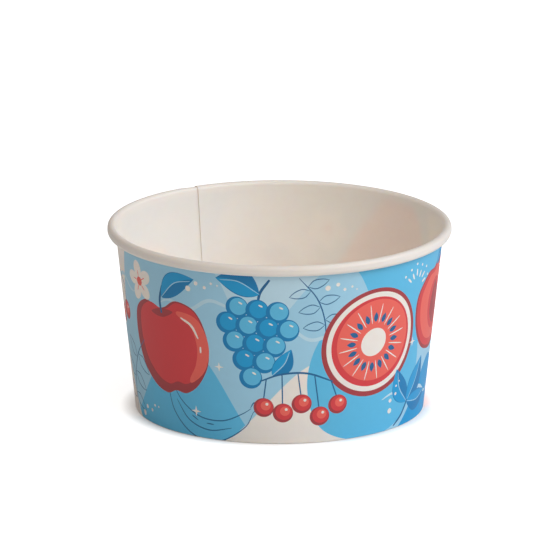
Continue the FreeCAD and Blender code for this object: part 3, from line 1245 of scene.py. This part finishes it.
@dataclass(frozen=True)
class BoardSurface:
    """The relief and gloss that all coated faces of the board share.

    Fibres under a thin coating leave a fine unevenness of a few hundredths of a millimetre, broader
    flocks of fibre leave a soft cloudiness, and both show as a broken, satin highlight.

    Attributes:
        fibre: Width of the fibre pattern in millimetres.
        flock: Width of the flocks in millimetres.
        relief: Height of the fibre pattern in millimetres.
        roughness: Mean roughness.
        roughness_spread: How far the roughness goes to each side of its mean.
    """

    fibre: float = 0.45
    flock: float = 2.6
    relief: float = 0.012
    roughness: float = 0.46
    roughness_spread: float = 0.05

    def flocks(self, tree: Tree, places: Socket) -> Socket:
        """Adds the cloudiness of the fibre flocks, from 0 to 1."""
        return noise(tree, places, 1 / self.flock, 4.0, 0.62)

    def normal(self, tree: Tree, places: Socket, below: Socket | None = None) -> Socket:
        """Adds the fine relief of the fibres.

        Args:
            tree: The material's node tree.
            places: The places that the pattern follows, in millimetres.
            below: The normal of a coarser relief that this one lies on.

        Returns:
            The bumped normal.
        """
        fibres = noise(tree, places, 1 / self.fibre, 3.0, 0.55)
        inputs = {"Height": fibres, "Strength": 1.0, "Distance": self.relief * MM}
        if below:
            inputs["Normal"] = below
        return add_node(tree, "ShaderNodeBump", inputs).outputs["Normal"]

    def gloss(self, tree: Tree, flocks: Socket) -> Socket:
        """Adds a roughness that follows the flocks.

        Args:
            tree: The material's node tree.
            flocks: The cloudiness of the flocks, from 0 to 1.

        Returns:
            The output that gives the roughness.
        """
        low, high = self.roughness - self.roughness_spread, self.roughness + self.roughness_spread
        ranged = add_node(tree, "ShaderNodeMapRange", {"Value": flocks, "To Min": low, "To Max": high})
        return ranged.outputs["Result"]


@dataclass(frozen=True)
class InkFinish:
    """Offset ink on coated board: a solid that is a little uneven, with a satin water varnish.

    Attributes:
        name: The material's name.
        colour: The ink's mean colour.
        mottle: How much lighter and darker the solid gets, as a share.
        surface: The relief and gloss.
    """

    name: str
    colour: str
    mottle: float = 0.035
    surface: BoardSurface = BoardSurface()

    def material(self) -> bpy.types.Material:
        """Makes the ink's material.

        Returns:
            The material.
        """
        material, tree = new_material(self.name)
        places = card_places(tree)
        flocks = self.surface.flocks(tree, places)
        mean = linear_from_hex(self.colour)[:3]
        dark = (*(channel * (1 - self.mottle) for channel in mean), 1)
        light = (*(min(1, channel * (1 + self.mottle)) for channel in mean), 1)
        finish(tree, {
            "Base Color": blend(tree, flocks, dark, light),
            "Roughness": self.surface.gloss(tree, flocks),
            "IOR": 1.48,
            "Normal": self.surface.normal(tree, places),
        })
        return material


@dataclass(frozen=True)
class CrimpAndShade:
    """What the curling tool leaves in the rolled rim, and the painted shade of the roll.

    Shallow upright ripples break the highlight along the rim into short, uneven stretches. The roll's colour
    also carries painted shade: it is darkest at the crown, which faces up, and a little darker on the outer
    side.

    Attributes:
        start: Where the roll starts on the blank.
        fade: How far into the roll the ripples reach their full depth.
        width: Width of a ripple.
        length: How far one runs round the roll.
        depth: Depth of a ripple.
        crown: How far past the start the crown lies.
        side: How far past the start the outer side lies.
        crown_shade_factor: The share of its brightness that the painted shade leaves at the crown.
        side_shade_factor: The share that the painted shade leaves on the outer side.
    """

    start: float
    fade: float = 1.5
    width: float = 1.9
    length: float = 9.0
    depth: float = 0.035
    crown: float = 1.9
    side: float = 3.9
    crown_shade_factor: float = 0.8
    side_shade_factor: float = 0.93

    def painted_shade(self, tree: Tree, places: Socket) -> Socket:
        """Adds the painted shade of the roll, as the share of its brightness that the colour keeps at each
        place on the blank.

        Args:
            tree: The material's node tree.
            places: Places on the blank.

        Returns:
            The output that gives the share.
        """
        up = add_node(tree, "ShaderNodeSeparateXYZ", {"Vector": places}).outputs["Y"]
        crown = self.start + self.crown
        # Painted shade: the colour darkens towards the crown and eases back towards the outer side
        crown_shading = ramp(tree, up, self.start, crown, 1.0, self.crown_shade_factor)
        side_unshading = ramp(tree, up, crown, self.start + self.side, 1.0, self.side_shade_factor / self.crown_shade_factor)
        return calc(tree, "MULTIPLY", crown_shading, side_unshading)

    def normal(self, tree: Tree, places: Socket) -> Socket:
        """Adds the ripples, as the bumped normal at each place on the blank.

        Args:
            tree: The material's node tree.
            places: Places on the blank.

        Returns:
            The bumped normal.
        """
        ripples = noise(tree, stretched(tree, places, (1 / self.width, 1 / self.length, 1.0)), 1.0, 2.0, 0.4)
        up = add_node(tree, "ShaderNodeSeparateXYZ", {"Vector": places}).outputs["Y"]
        share = ramp(tree, up, self.start, self.start + self.fade, 0.0, 1.0)
        inputs = {"Height": ripples, "Strength": share, "Distance": self.depth * MM}
        return add_node(tree, "ShaderNodeBump", inputs).outputs["Normal"]


@dataclass(frozen=True)
class BoardFinish:
    """Bleached board with a white coating: warm white, faintly cloudy, satin.

    Attributes:
        name: The material's name.
        colour: The coating's colour.
        shade: The colour where the fibres lie thin.
        through: How strongly the print on the other side shows through, as a share.
        soak: How much of the light goes through the board's surface and spreads between the fibres.
        soak_depth: How far that light gets, in millimetres, for red, green and blue.
        on_card: Whether the pattern follows the flat blank, or else the cup's own frame.
        crimp_and_shade: The ripples that the curling tool leaves in the board and the painted shade of its
            roll, if it is rolled.
        surface: The relief and gloss.
    """

    name: str
    colour: str = "#F8F3EC"
    shade: str = "#F3EDE5"
    through: float = 0.0
    soak: float = 0.4
    soak_depth: tuple[float, float, float] = (0.34, 0.26, 0.19)
    on_card: bool = True
    crimp_and_shade: CrimpAndShade | None = None
    surface: BoardSurface = BoardSurface()

    def material(self) -> bpy.types.Material:
        """Makes the board's material.

        Returns:
            The material.
        """
        material, tree = new_material(self.name)
        places = card_places(tree) if self.on_card else solid_places(tree)
        flocks = self.surface.flocks(tree, places)
        board = blend(tree, flocks, linear_from_hex(self.shade), linear_from_hex(self.colour))
        if self.through:
            ghost = add_node(tree, "ShaderNodeAttribute", attribute_name=THROUGH).outputs["Color"]
            board = blend(tree, self.through, board, ghost, "MULTIPLY")
        rippled = None
        if self.crimp_and_shade:
            rippled = self.crimp_and_shade.normal(tree, places)
            # Painted shade: the roll's colour is scaled down, most at its crown
            inputs = {"Vector": board, "Scale": self.crimp_and_shade.painted_shade(tree, places)}
            board = add_node(tree, "ShaderNodeVectorMath", inputs, operation="SCALE").outputs["Vector"]
        finish(tree, {
            "Base Color": board,
            "Roughness": self.surface.gloss(tree, flocks),
            "IOR": 1.5,
            "Subsurface Weight": self.soak,
            "Subsurface Radius": self.soak_depth,
            "Subsurface Scale": MM,
            "Normal": self.surface.normal(tree, places, rippled),
        })
        return material


@dataclass(frozen=True)
class CutFinish:
    """The cut edge of the board: raw, layered fibre, darker and duller than the coated faces.

    Attributes:
        name: The material's name.
        light: The colour of the lightest fibres.
        dark: That of the darkest.
        ply: Thickness of a layer in millimetres.
        long: How many times longer than thick a fibre looks.
        relief: Height of the layers in millimetres.
    """

    name: str = "Cut edge of board"
    light: str = "#F1E9DD"
    dark: str = "#DCCFBC"
    ply: float = 0.09
    long: float = 4.0
    relief: float = 0.02

    def material(self) -> bpy.types.Material:
        """Makes the cut edge's material.

        Returns:
            The material.
        """
        material, tree = new_material(self.name)
        places = stretched(tree, card_places(tree), (1 / self.long, 1 / self.long, 1.0))
        plies = noise(tree, places, 1 / self.ply, 2.0, 0.5)
        inputs = {"Height": plies, "Strength": 1.0, "Distance": self.relief * MM}
        finish(tree, {
            "Base Color": blend(tree, plies, linear_from_hex(self.dark), linear_from_hex(self.light)),
            "Roughness": 0.85,
            "IOR": 1.5,
            "Normal": add_node(tree, "ShaderNodeBump", inputs).outputs["Normal"],
        })
        return material


INK_COLOURS = {
    Face.LIGHT_BLUE: ("Light blue ink", "#A5D8F0"),
    Face.PALE_BLUE: ("Pale blue ink", "#C3E5F4"),
    Face.MID_BLUE: ("Mid blue ink", "#5FC3EC"),
    Face.STRONG_BLUE: ("Strong blue ink", "#12A2DC"),
    Face.DEEP_BLUE: ("Deep blue ink", "#0082BD"),
    Face.LINE_BLUE: ("Line blue ink", "#1B6699"),
    Face.CORAL: ("Coral ink", "#F4695C"),
    Face.RED: ("Red ink", "#DF4045"),
    Face.DARK_RED: ("Dark red ink", "#AC3D42"),
}


def wall_finishes(form: WallForm) -> dict[Face, BoardFinish | CutFinish | InkFinish]:
    """The finish of each kind of face of the wall, in the order of its material slots.

    Args:
        form: The wall's form.

    Returns:
        Each kind of face with its finish.
    """
    # The food side's roll gets ripples and a painted shade at its crown
    crimp_and_shade = CrimpAndShade(form.cone_rows[1])
    food_side = BoardFinish("Coated board, food side", "#FDF7EF", "#FAF2E9", through=0.1, crimp_and_shade=crimp_and_shade)
    finishes = {
        Face.FOOD_SIDE: food_side,
        Face.CUT_EDGE: CutFinish(),
        Face.BARE: BoardFinish("Coated board, unprinted"),
    }
    finishes.update({face: InkFinish(name, code) for face, (name, code) in INK_COLOURS.items()})
    return dict(sorted(finishes.items(), key=lambda pair: pair[0].value))


# The pieces


def sort_by_corners(drawn: bmesh.types.BMesh) -> None:
    """Puts edges and faces in the order of their corners.

    Extrude and spin keep the corners in one order, but what they make between them comes in another order
    in each run.

    Args:
        drawn: The drawn mesh, which is sorted in place.
    """
    drawn.verts.index_update()
    count = len(drawn.verts)

    def rank(part: bmesh.types.BMEdge | bmesh.types.BMFace) -> int:
        """Makes one number of the lowest three corners, where an edge has 0 for the third."""
        first, second, third = (sorted(corner.index for corner in part.verts) + [0])[:3]
        return (first * count + second) * count + third

    for parts in (drawn.edges, drawn.faces):
        parts.sort(key=rank)


def new_mesh(name: str, drawn: bmesh.types.BMesh) -> bpy.types.Mesh:
    """Makes a mesh of a drawn one, and frees that.

    Args:
        name: The mesh's name.
        drawn: The drawn mesh, which is sorted first.

    Returns:
        The mesh.
    """
    sort_by_corners(drawn)
    mesh = bpy.data.meshes.new(name)
    drawn.to_mesh(mesh)
    drawn.free()
    return mesh


def new_object(name: str, data: bpy.types.ID) -> bpy.types.Object:
    """Makes an object and puts it into the scene.

    Args:
        name: The object's name.
        data: Its mesh, lamp or camera.

    Returns:
        The object.
    """
    made = bpy.data.objects.new(name, data)
    bpy.context.scene.collection.objects.link(made)
    return made


def read_all(parts: bpy.types.bpy_prop_collection, name: str, wide: int = 1) -> np.ndarray:
    """Reads one property of all parts of a mesh.

    Args:
        parts: The mesh's corners, faces or face corners.
        name: The property's name.
        wide: How many numbers it has. A single one is a whole number.

    Returns:
        The numbers of a part, one part a row.
    """
    values = np.zeros(len(parts) * wide, int if wide == 1 else float)
    parts.foreach_get(name, values)
    return values if wide == 1 else values.reshape(-1, wide)


@dataclass
class SideWall:
    """The printed blank, formed into the wall, the rim's roll and the foot's hem.

    Attributes:
        form: The wall's form.
        name: The piece's name.
        through_reach: How far away print still shows through at a place on the food side.
        through_blur: How far away it does so with 1/e of its full strength.
        through_past: How far past the cone print is looked for.
    """

    form: WallForm
    name: str = "printed_wall"
    through_reach: float = 3.2
    through_blur: float = 1.6
    through_past: float = 1.0

    def _cut_card(self, patches: Patches) -> bmesh.types.BMesh:
        """Cuts the flat blank along its columns, its rows and every outline of the print.

        Args:
            patches: The fields of ink, from the lowest layer up.

        Returns:
            The flat blank, whose faces hold the number of what covers them.
        """
        wide, high = self.form.width, self.form.height
        ends = [((x, 0), (x, high)) for x in self.form.columns[1:-1]]
        ends += [((0, y), (wide, y)) for y in self.form.rows[1:-1]]
        points = [Vector(place) for pair in ends for place in pair]
        lines = [(number, number + 1) for number in range(0, len(points), 2)]
        outlines = [np.array(((0, 0), (wide, 0), (wide, high), (0, high)))]
        outlines += [outline for _, outline in patches]
        loops = []
        for outline in outlines:
            loops.append(list(range(len(points), len(points) + len(outline))))
            points += [Vector(point) for point in outline]
        whole = 0
        places, edges, faces, _, edge_sources, face_sources = delaunay_2d_cdt(
            points, lines, loops, whole, SHORTEST
        )
        card = bmesh.new()
        corners = [card.verts.new((place.x, place.y, 0)) for place in places]
        low, high = Print(self.form).edges
        for face, sources in zip(faces, face_sources):
            if 0 not in sources:
                continue
            made = card.faces.new([corners[number] for number in face])
            middle = sum(places[number].y for number in face) / len(face)
            top = max(sources)
            ink = patches[top - 1][0] if top and low < middle < high else Face.BARE
            made.material_index = ink.value
        for edge, sources in zip(edges, edge_sources):
            if sources:
                made = card.edges.get([corners[number] for number in edge])
                if made:
                    made.seam = True
        loose = [corner for corner in card.verts if not corner.link_faces]
        bmesh.ops.delete(card, geom=loose, context="VERTS")
        # Where an outline all but meets a column or another outline, the cut leaves slivers
        bmesh.ops.dissolve_degenerate(card, edges=card.edges[:], dist=SLIVER)
        return card

    def _thicken(self, card: bmesh.types.BMesh) -> None:
        """Gives the blank the board's thickness, with the print on top and a plain grid below.

        Args:
            card: The flat blank.
        """
        flat_angle, shape_angle, grid_angle = (math.radians(angle) for angle in (1, 40, 0.5))
        bmesh.ops.join_triangles(
            card, faces=card.faces[:], cmp_seam=True, cmp_materials=True,
            angle_face_threshold=flat_angle, angle_shape_threshold=shape_angle,
        )
        food_side = card.faces[:]
        flat = food_side + card.edges[:]
        grown = bmesh.ops.extrude_face_region(card, geom=flat, use_keep_orig=True)["geom"]
        risen = [part for part in grown if isinstance(part, bmesh.types.BMVert)]
        bmesh.ops.translate(card, verts=risen, vec=(0, 0, self.form.sizes.board))
        for face in food_side:
            face.material_index = Face.FOOD_SIDE.value
        bmesh.ops.recalc_face_normals(card, faces=card.faces)
        for face in card.faces:
            lies_flat = abs(face.normal.z) >= 0.5
            if not lies_flat:
                face.material_index = Face.CUT_EDGE.value
        below = [face for face in card.faces if face.material_index == Face.FOOD_SIDE.value]
        # A dict keeps the order in which they come, which a set would change from run to run
        edges = list(dict.fromkeys(edge for face in below for edge in face.edges))
        corners = list(dict.fromkeys(corner for edge in edges for corner in edge.verts))
        for edge in edges:
            along = edge.verts[1].co - edge.verts[0].co
            edge.seam = min(abs(along.x), abs(along.y)) < ON_LINE
        bmesh.ops.dissolve_limit(
            card, angle_limit=grid_angle, use_dissolve_boundaries=False, delimit={"SEAM"},
            verts=corners, edges=edges,
        )
        for edge in card.edges:
            edge.seam = False

    def _print_behind(self, card: bmesh.types.BMesh) -> None:
        """Stores at each corner of the food side the blurred colour of the print behind it.

        Args:
            card: The flat blank.
        """
        white = np.array(linear_from_hex("#FFFFFF"))
        colours = {face.value: np.array(linear_from_hex(code)) for face, (_, code) in INK_COLOURS.items()}
        printed = [face for face in card.faces if face.material_index >= Face.BARE.value]
        tree = KDTree(len(printed))
        for number, face in enumerate(printed):
            middle = face.calc_center_median()
            tree.insert((middle.x, middle.y, 0), number)
        tree.balance()
        inks = np.array([colours.get(face.material_index, white) for face in printed])
        areas = np.array([face.calc_area() for face in printed])
        layer = card.verts.layers.float_color.new(THROUGH)
        foot, head = self.form.cone_rows
        for corner in card.verts:
            corner[layer] = white
            if not foot - self.through_past < corner.co.y < head + self.through_past:
                continue
            near = tree.find_range((corner.co.x, corner.co.y, 0), self.through_reach)
            if near:
                number = [found[1] for found in near]
                away = np.array([found[2] for found in near])
                weight = areas[number] * np.exp(-((away / self.through_blur) ** 2))
                corner[layer] = weight @ inks[number] / weight.sum()

    def _bake_places(self, flat: Rows, starts: Rows, totals: Rows, kinds: Rows) -> Rows:
        """Lays the faces out on a square sheet.

        The print lies in two rows of two strips, the food side above it in two strips, and the cut edges
        at the top.

        Args:
            flat: Place on the blank of each face corner.
            starts: Number of each face's first corner.
            totals: How many corners each face has.
            kinds: Material number of each face.

        Returns:
            The place on the sheet of each face corner.
        """
        form = self.form
        # Where each kind of face ends on the sheet, and how much of a strip goes to foot, cone and rim
        print_top, food_top = 0.70, 0.98
        print_shares, food_shares = (0, 0.035, 0.965, 1), (0, 0.1, 0.8, 1)
        gap, slack = 0.004, 1.01
        edge_start, edge_high = 0.2, 0.5
        room, row_room = 1 - 2 * gap, 1 - 3 * gap

        middle, level = (np.repeat(np.add.reduceat(flat[:, k], starts) / totals, totals) for k in (0, 1))
        kind = np.repeat(kinds, totals)
        quarter = form.columns[np.searchsorted(form.columns, form.width * np.arange(1, 4) / 4)]
        strip = np.searchsorted(quarter, middle)
        half = strip // 2
        bounds = np.concatenate(([0], quarter, [form.width]))
        foot, head = form.cone_rows
        upright = (0, foot, head, form.height)

        across = (flat[:, 0] - bounds[strip]) / (form.width / 4 * slack)
        print_up = np.interp(flat[:, 1], upright, print_shares)
        placed = np.column_stack((
            (strip % 2 + gap + across * room) / 2,
            (half + gap + print_up * row_room) * (print_top / 2),
        ))
        food_across = (flat[:, 0] - bounds[2 * half]) / (form.width / 2 * slack)
        food_up = np.interp(flat[:, 1], upright, food_shares)
        food = np.column_stack((
            gap + food_across * room,
            print_top + (half + gap + food_up * row_room) * (food_top - print_top) / 2,
        ))
        side = np.abs(flat[:, 0] - np.where(middle < form.width / 2, 0, form.width)) < SHORTEST
        edge_row = np.where(side, 2, 0) + (level > form.height / 2)
        edge_along = np.where(edge_row > 1, flat[:, 1] / form.height, flat[:, 0] / form.width)
        edge_up = edge_row + edge_start + edge_high * flat[:, 2] / form.sizes.board
        edge = np.column_stack((gap + edge_along * room, food_top + edge_up * (1 - food_top) / 4))
        placed = np.where((kind == Face.FOOD_SIDE.value)[:, None], food, placed)
        return np.where((kind == Face.CUT_EDGE.value)[:, None], edge, placed)

    def build(self, patches: Patches) -> bpy.types.Object:
        """Makes the finished wall.

        Args:
            patches: The fields of ink, from the lowest layer up.

        Returns:
            The wall's object.
        """
        card = self._cut_card(patches)
        self._thicken(card)
        self._print_behind(card)
        mesh = new_mesh(self.name, card)

        flat = read_all(mesh.vertices, "co", 3)
        points, facing = self.form.place(flat)
        mesh.vertices.foreach_set("co", (points * MM).ravel())
        mesh.update()

        starts, totals, kinds = (
            read_all(mesh.polygons, name) for name in ("loop_start", "loop_total", "material_index")
        )
        corners = read_all(mesh.loops, "vertex_index")
        places = flat[corners]
        card_map = mesh.uv_layers.new(name=CARD_MAP)
        card_map.data.foreach_set("uv", places[:, :2].ravel())
        bake_map = mesh.uv_layers.new(name=BAKE_MAP)
        bake_map.data.foreach_set("uv", self._bake_places(places, starts, totals, kinds).ravel())

        own = np.repeat(read_all(mesh.polygons, "normal", 3), totals, axis=0)
        kind = np.repeat(kinds, totals)[:, None]
        normals = np.where(kind == Face.FOOD_SIDE.value, -facing[corners], facing[corners])
        normals = np.where(kind == Face.CUT_EDGE.value, own, normals)
        mesh.polygons.foreach_set("use_smooth", np.ones(len(mesh.polygons), bool))
        mesh.normals_split_custom_set(normals)

        for finish_of_face in wall_finishes(self.form).values():
            mesh.materials.append(finish_of_face.material())
        return new_object(self.name, mesh)


@dataclass
class BaseDisc:
    """The plain disc, its edge turned down into the skirt that the hem holds.

    Attributes:
        sizes: The cup's sizes.
        name: The piece's name.
        segments: How many stretches its round has.
        bend_steps: How many stretches the bend into the skirt has.
        sharp: The least angle between faces that looks sharp.
    """

    sizes: CupSizes
    name: str = "base"
    segments: int = 240
    bend_steps: int = 8
    sharp: float = 40.0

    def _section(self) -> list[tuple[float, float]]:
        """The section's outline from the axis along the upper face, down the skirt and back.

        Returns:
            Its corners, each as a distance from the axis and a height.
        """
        sizes = self.sizes
        board, bend, out = sizes.disc_board, sizes.disc_bend, sizes.outward()
        offset = -(sizes.board + sizes.skirt_gap)
        hub = sizes.at(offset - bend, sizes.disc_level - bend)
        skirt_end = sizes.board + sizes.fold_radius + sizes.skirt_gap
        end_out = sizes.at(offset, skirt_end)
        angles = np.radians(np.linspace(90, -sizes.lean, self.bend_steps + 1))
        spokes = np.column_stack((np.cos(angles), np.sin(angles)))
        return [
            (0, sizes.disc_level),
            *(tuple(hub + bend * spoke) for spoke in spokes),
            tuple(end_out),
            tuple(end_out - board * out),
            *(tuple(hub + (bend - board) * spoke) for spoke in spokes[::-1]),
            (0, sizes.disc_level - board),
        ]

    def build(self) -> bpy.types.Object:
        """Makes the finished disc.

        Returns:
            The disc's object.
        """
        section = bmesh.new()
        corners = [section.verts.new((r * MM, 0, z * MM)) for r, z in self._section()]
        edges = [section.edges.new(pair) for pair in zip(corners, corners[1:])]
        bmesh.ops.spin(
            section, geom=corners + edges, axis=(0, 0, 1), cent=(0, 0, 0), dvec=(0, 0, 0),
            angle=math.tau, steps=self.segments, use_merge=True,
        )
        bmesh.ops.remove_doubles(section, verts=section.verts, dist=SHORTEST)
        bmesh.ops.recalc_face_normals(section, faces=section.faces)
        for edge in section.edges:
            edge.smooth = edge.calc_face_angle(0) < math.radians(self.sharp)
        for face in section.faces:
            face.smooth = True
        mesh = new_mesh(self.name, section)
        mesh.materials.append(BoardFinish("Coated board, disc", on_card=False).material())
        return new_object(self.name, mesh)


@dataclass(frozen=True)
class SoftBox:
    """A square soft box that faces the cup.

    Attributes:
        name: Its name.
        around: Its angle round the cup.
        up: Its angle above the table.
        size: Its side.
        power: Its power in watts.
        colour: Its colour.
        distance: How far it is from the cup's middle.
    """

    name: str
    around: float
    up: float
    size: float
    power: float
    colour: str
    distance: float = 1600.0

    def place(self, middle: Vector) -> None:
        """Hangs the lamp so that it faces the cup's middle.

        Args:
            middle: The cup's middle, in millimetres.
        """
        data = bpy.data.lights.new(self.name, "AREA")
        data.shape = "SQUARE"
        data.size = self.size * MM
        data.energy = self.power
        data.color = linear_from_hex(self.colour)[:3]
        around, up = math.radians(self.around), math.radians(self.up)
        away = Vector((math.cos(up) * math.cos(around), math.cos(up) * math.sin(around), math.sin(up)))
        lamp = new_object(self.name, data)
        lamp.location = (middle + self.distance * away) * MM
        lamp.rotation_euler = away.to_track_quat("Z", "Y").to_euler()


@dataclass(frozen=True)
class Studio:
    """A white table under soft boxes that hang to the right and above, and the photograph's camera.

    Attributes:
        aim: The point that the camera looks at.
        distance: How far the camera is from it.
        elevation: The camera's angle above the table.
        focal_pixels: Its focal length in pixels of the photograph.
        picture_pixels: The photograph's width in pixels.
        sensor: Width of the camera's sensor.
        clip: The greatest distance that the camera sees, in metres.
        lamps_aim: The point that the lamps face.
        floor_half: Half the table's width.
        floor_drop: How far the table lies below the cup's foot, so that the two don't touch.
        floor_colour: The table's colour.
        floor_glow: How much lighter the table looks to the camera than the lamps make it.
        contact_shadow_reach: How far from the cup that glow is weakened, as a painted contact shadow.
        contact_shadow_power: How strongly the painted contact shadow weakens the glow there.
        room_light: How strongly the room lights.
        room_colour: The colour of its light.
        lamps: The soft boxes.
    """

    aim: tuple[float, float, float] = (0.16, 0.0, 43.05)
    distance: float = 3000.0
    elevation: float = 15.21
    focal_pixels: float = 8970.0
    picture_pixels: float = 560.0
    sensor: float = 36.0
    clip: float = 100.0
    lamps_aim: tuple[float, float, float] = (0.0, 0.0, 30.0)
    floor_half: float = 12000.0
    floor_drop: float = 0.02
    floor_colour: str = "#E9E9E9"
    floor_glow: float = 0.7
    contact_shadow_reach: float = 5.5
    contact_shadow_power: float = 1.7
    room_light: float = 0.31
    room_colour: str = "#FAF0E8"
    lamps: tuple[SoftBox, ...] = (
        SoftBox("key", -46, 35, 800, 9.4, "#FFFBF8"),
        SoftBox("side", 0, 35, 800, 7.4, "#D0E5FF"),
        SoftBox("top", -90, 89.9, 1400, 7.5, "#FFF9F3"),
    )

    def camera(self) -> None:
        """Places the camera."""
        data = bpy.data.cameras.new("camera")
        data.sensor_width = self.sensor
        data.lens = self.focal_pixels * self.sensor / self.picture_pixels
        data.clip_end = self.clip
        elevation = math.radians(self.elevation)
        back = Vector((0, -math.cos(elevation), math.sin(elevation)))
        camera = new_object("camera", data)
        camera.location = (Vector(self.aim) + self.distance * back) * MM
        camera.rotation_euler = (-back).to_track_quat("-Z", "Y").to_euler()
        bpy.context.scene.camera = camera

    def world(self) -> None:
        """Makes a room that lights evenly and looks white to the camera and through clear things."""
        world = bpy.data.worlds.new("room")
        world.use_nodes = True
        tree = world.node_tree
        tree.nodes.clear()
        path = add_node(tree, "ShaderNodeLightPath").outputs
        light = add_node(tree, "ShaderNodeBackground", {
            "Color": linear_from_hex(self.room_colour), "Strength": self.room_light,
        })
        white = add_node(tree, "ShaderNodeBackground", {"Color": (1, 1, 1, 1), "Strength": 1.0})
        mixed = add_node(tree, "ShaderNodeMixShader", {
            "Fac": calc(tree, "MAXIMUM", path["Is Camera Ray"], path["Is Transmission Ray"]),
            "Shader": light.outputs["Background"],
            "Shader_001": white.outputs["Background"],
        })
        add_node(tree, "ShaderNodeOutputWorld", {"Surface": mixed.outputs["Shader"]})
        bpy.context.scene.world = world

    def floor(self) -> bpy.types.Object:
        """Makes the table: white to the camera, but for the cup's shadow and a painted contact shadow at its
        foot.

        Returns:
            The table's object.
        """
        material, tree = new_material("White table")
        to_camera = add_node(tree, "ShaderNodeLightPath").outputs["Is Camera Ray"]
        # Painted contact shadow: the glow to the camera is weakened where the cup hides the table from the
        # sky
        unshaded = add_node(tree, "ShaderNodeAmbientOcclusion", {"Distance": self.contact_shadow_reach * MM})
        share = calc(tree, "POWER", unshaded.outputs["AO"], self.contact_shadow_power)
        glow = calc(tree, "MULTIPLY", calc(tree, "MULTIPLY", to_camera, share), self.floor_glow)
        matt = add_node(tree, "ShaderNodeBsdfDiffuse", {"Color": linear_from_hex(self.floor_colour)})
        added = add_node(tree, "ShaderNodeEmission", {"Color": (1, 1, 1, 1), "Strength": glow})
        both = add_node(tree, "ShaderNodeAddShader", {
            "Shader": matt.outputs["BSDF"], "Shader_001": added.outputs["Emission"],
        })
        add_node(tree, "ShaderNodeOutputMaterial", {"Surface": both.outputs["Shader"]})
        grid = bmesh.new()
        bmesh.ops.create_grid(grid, x_segments=1, y_segments=1, size=self.floor_half * MM)
        bmesh.ops.translate(grid, verts=grid.verts, vec=(0, 0, -self.floor_drop * MM))
        mesh = new_mesh("table", grid)
        mesh.materials.append(material)
        return new_object("table", mesh)

    def build(self) -> None:
        """Sets up the whole studio."""
        self.camera()
        self.world()
        for lamp in self.lamps:
            lamp.place(Vector(self.lamps_aim))
        self.floor()
        bpy.context.scene.view_settings.view_transform = "Standard"


def report(piece: bpy.types.Object) -> None:
    """Logs a finished piece."""
    log.info("%s: %d corners, %d faces", piece.name, len(piece.data.vertices), len(piece.data.polygons))


def main() -> None:
    """Builds the studio and both pieces of the cup."""
    logging.basicConfig(level=logging.INFO, format="%(name)s: %(message)s")
    log.info("the frame holds %s", ", ".join(sorted(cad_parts)))
    sizes = CupSizes.from_frame()
    Studio().build()

    form = WallForm(sizes, SectionMaker(sizes))
    wall = SideWall(form).build(Print(form).patches())
    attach(wall, "root")
    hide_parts("side_wall")
    report(wall)

    base = BaseDisc(sizes).build()
    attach(base, "root")
    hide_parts("base_disc")
    report(base)


if __name__ == "__main__":
    main()
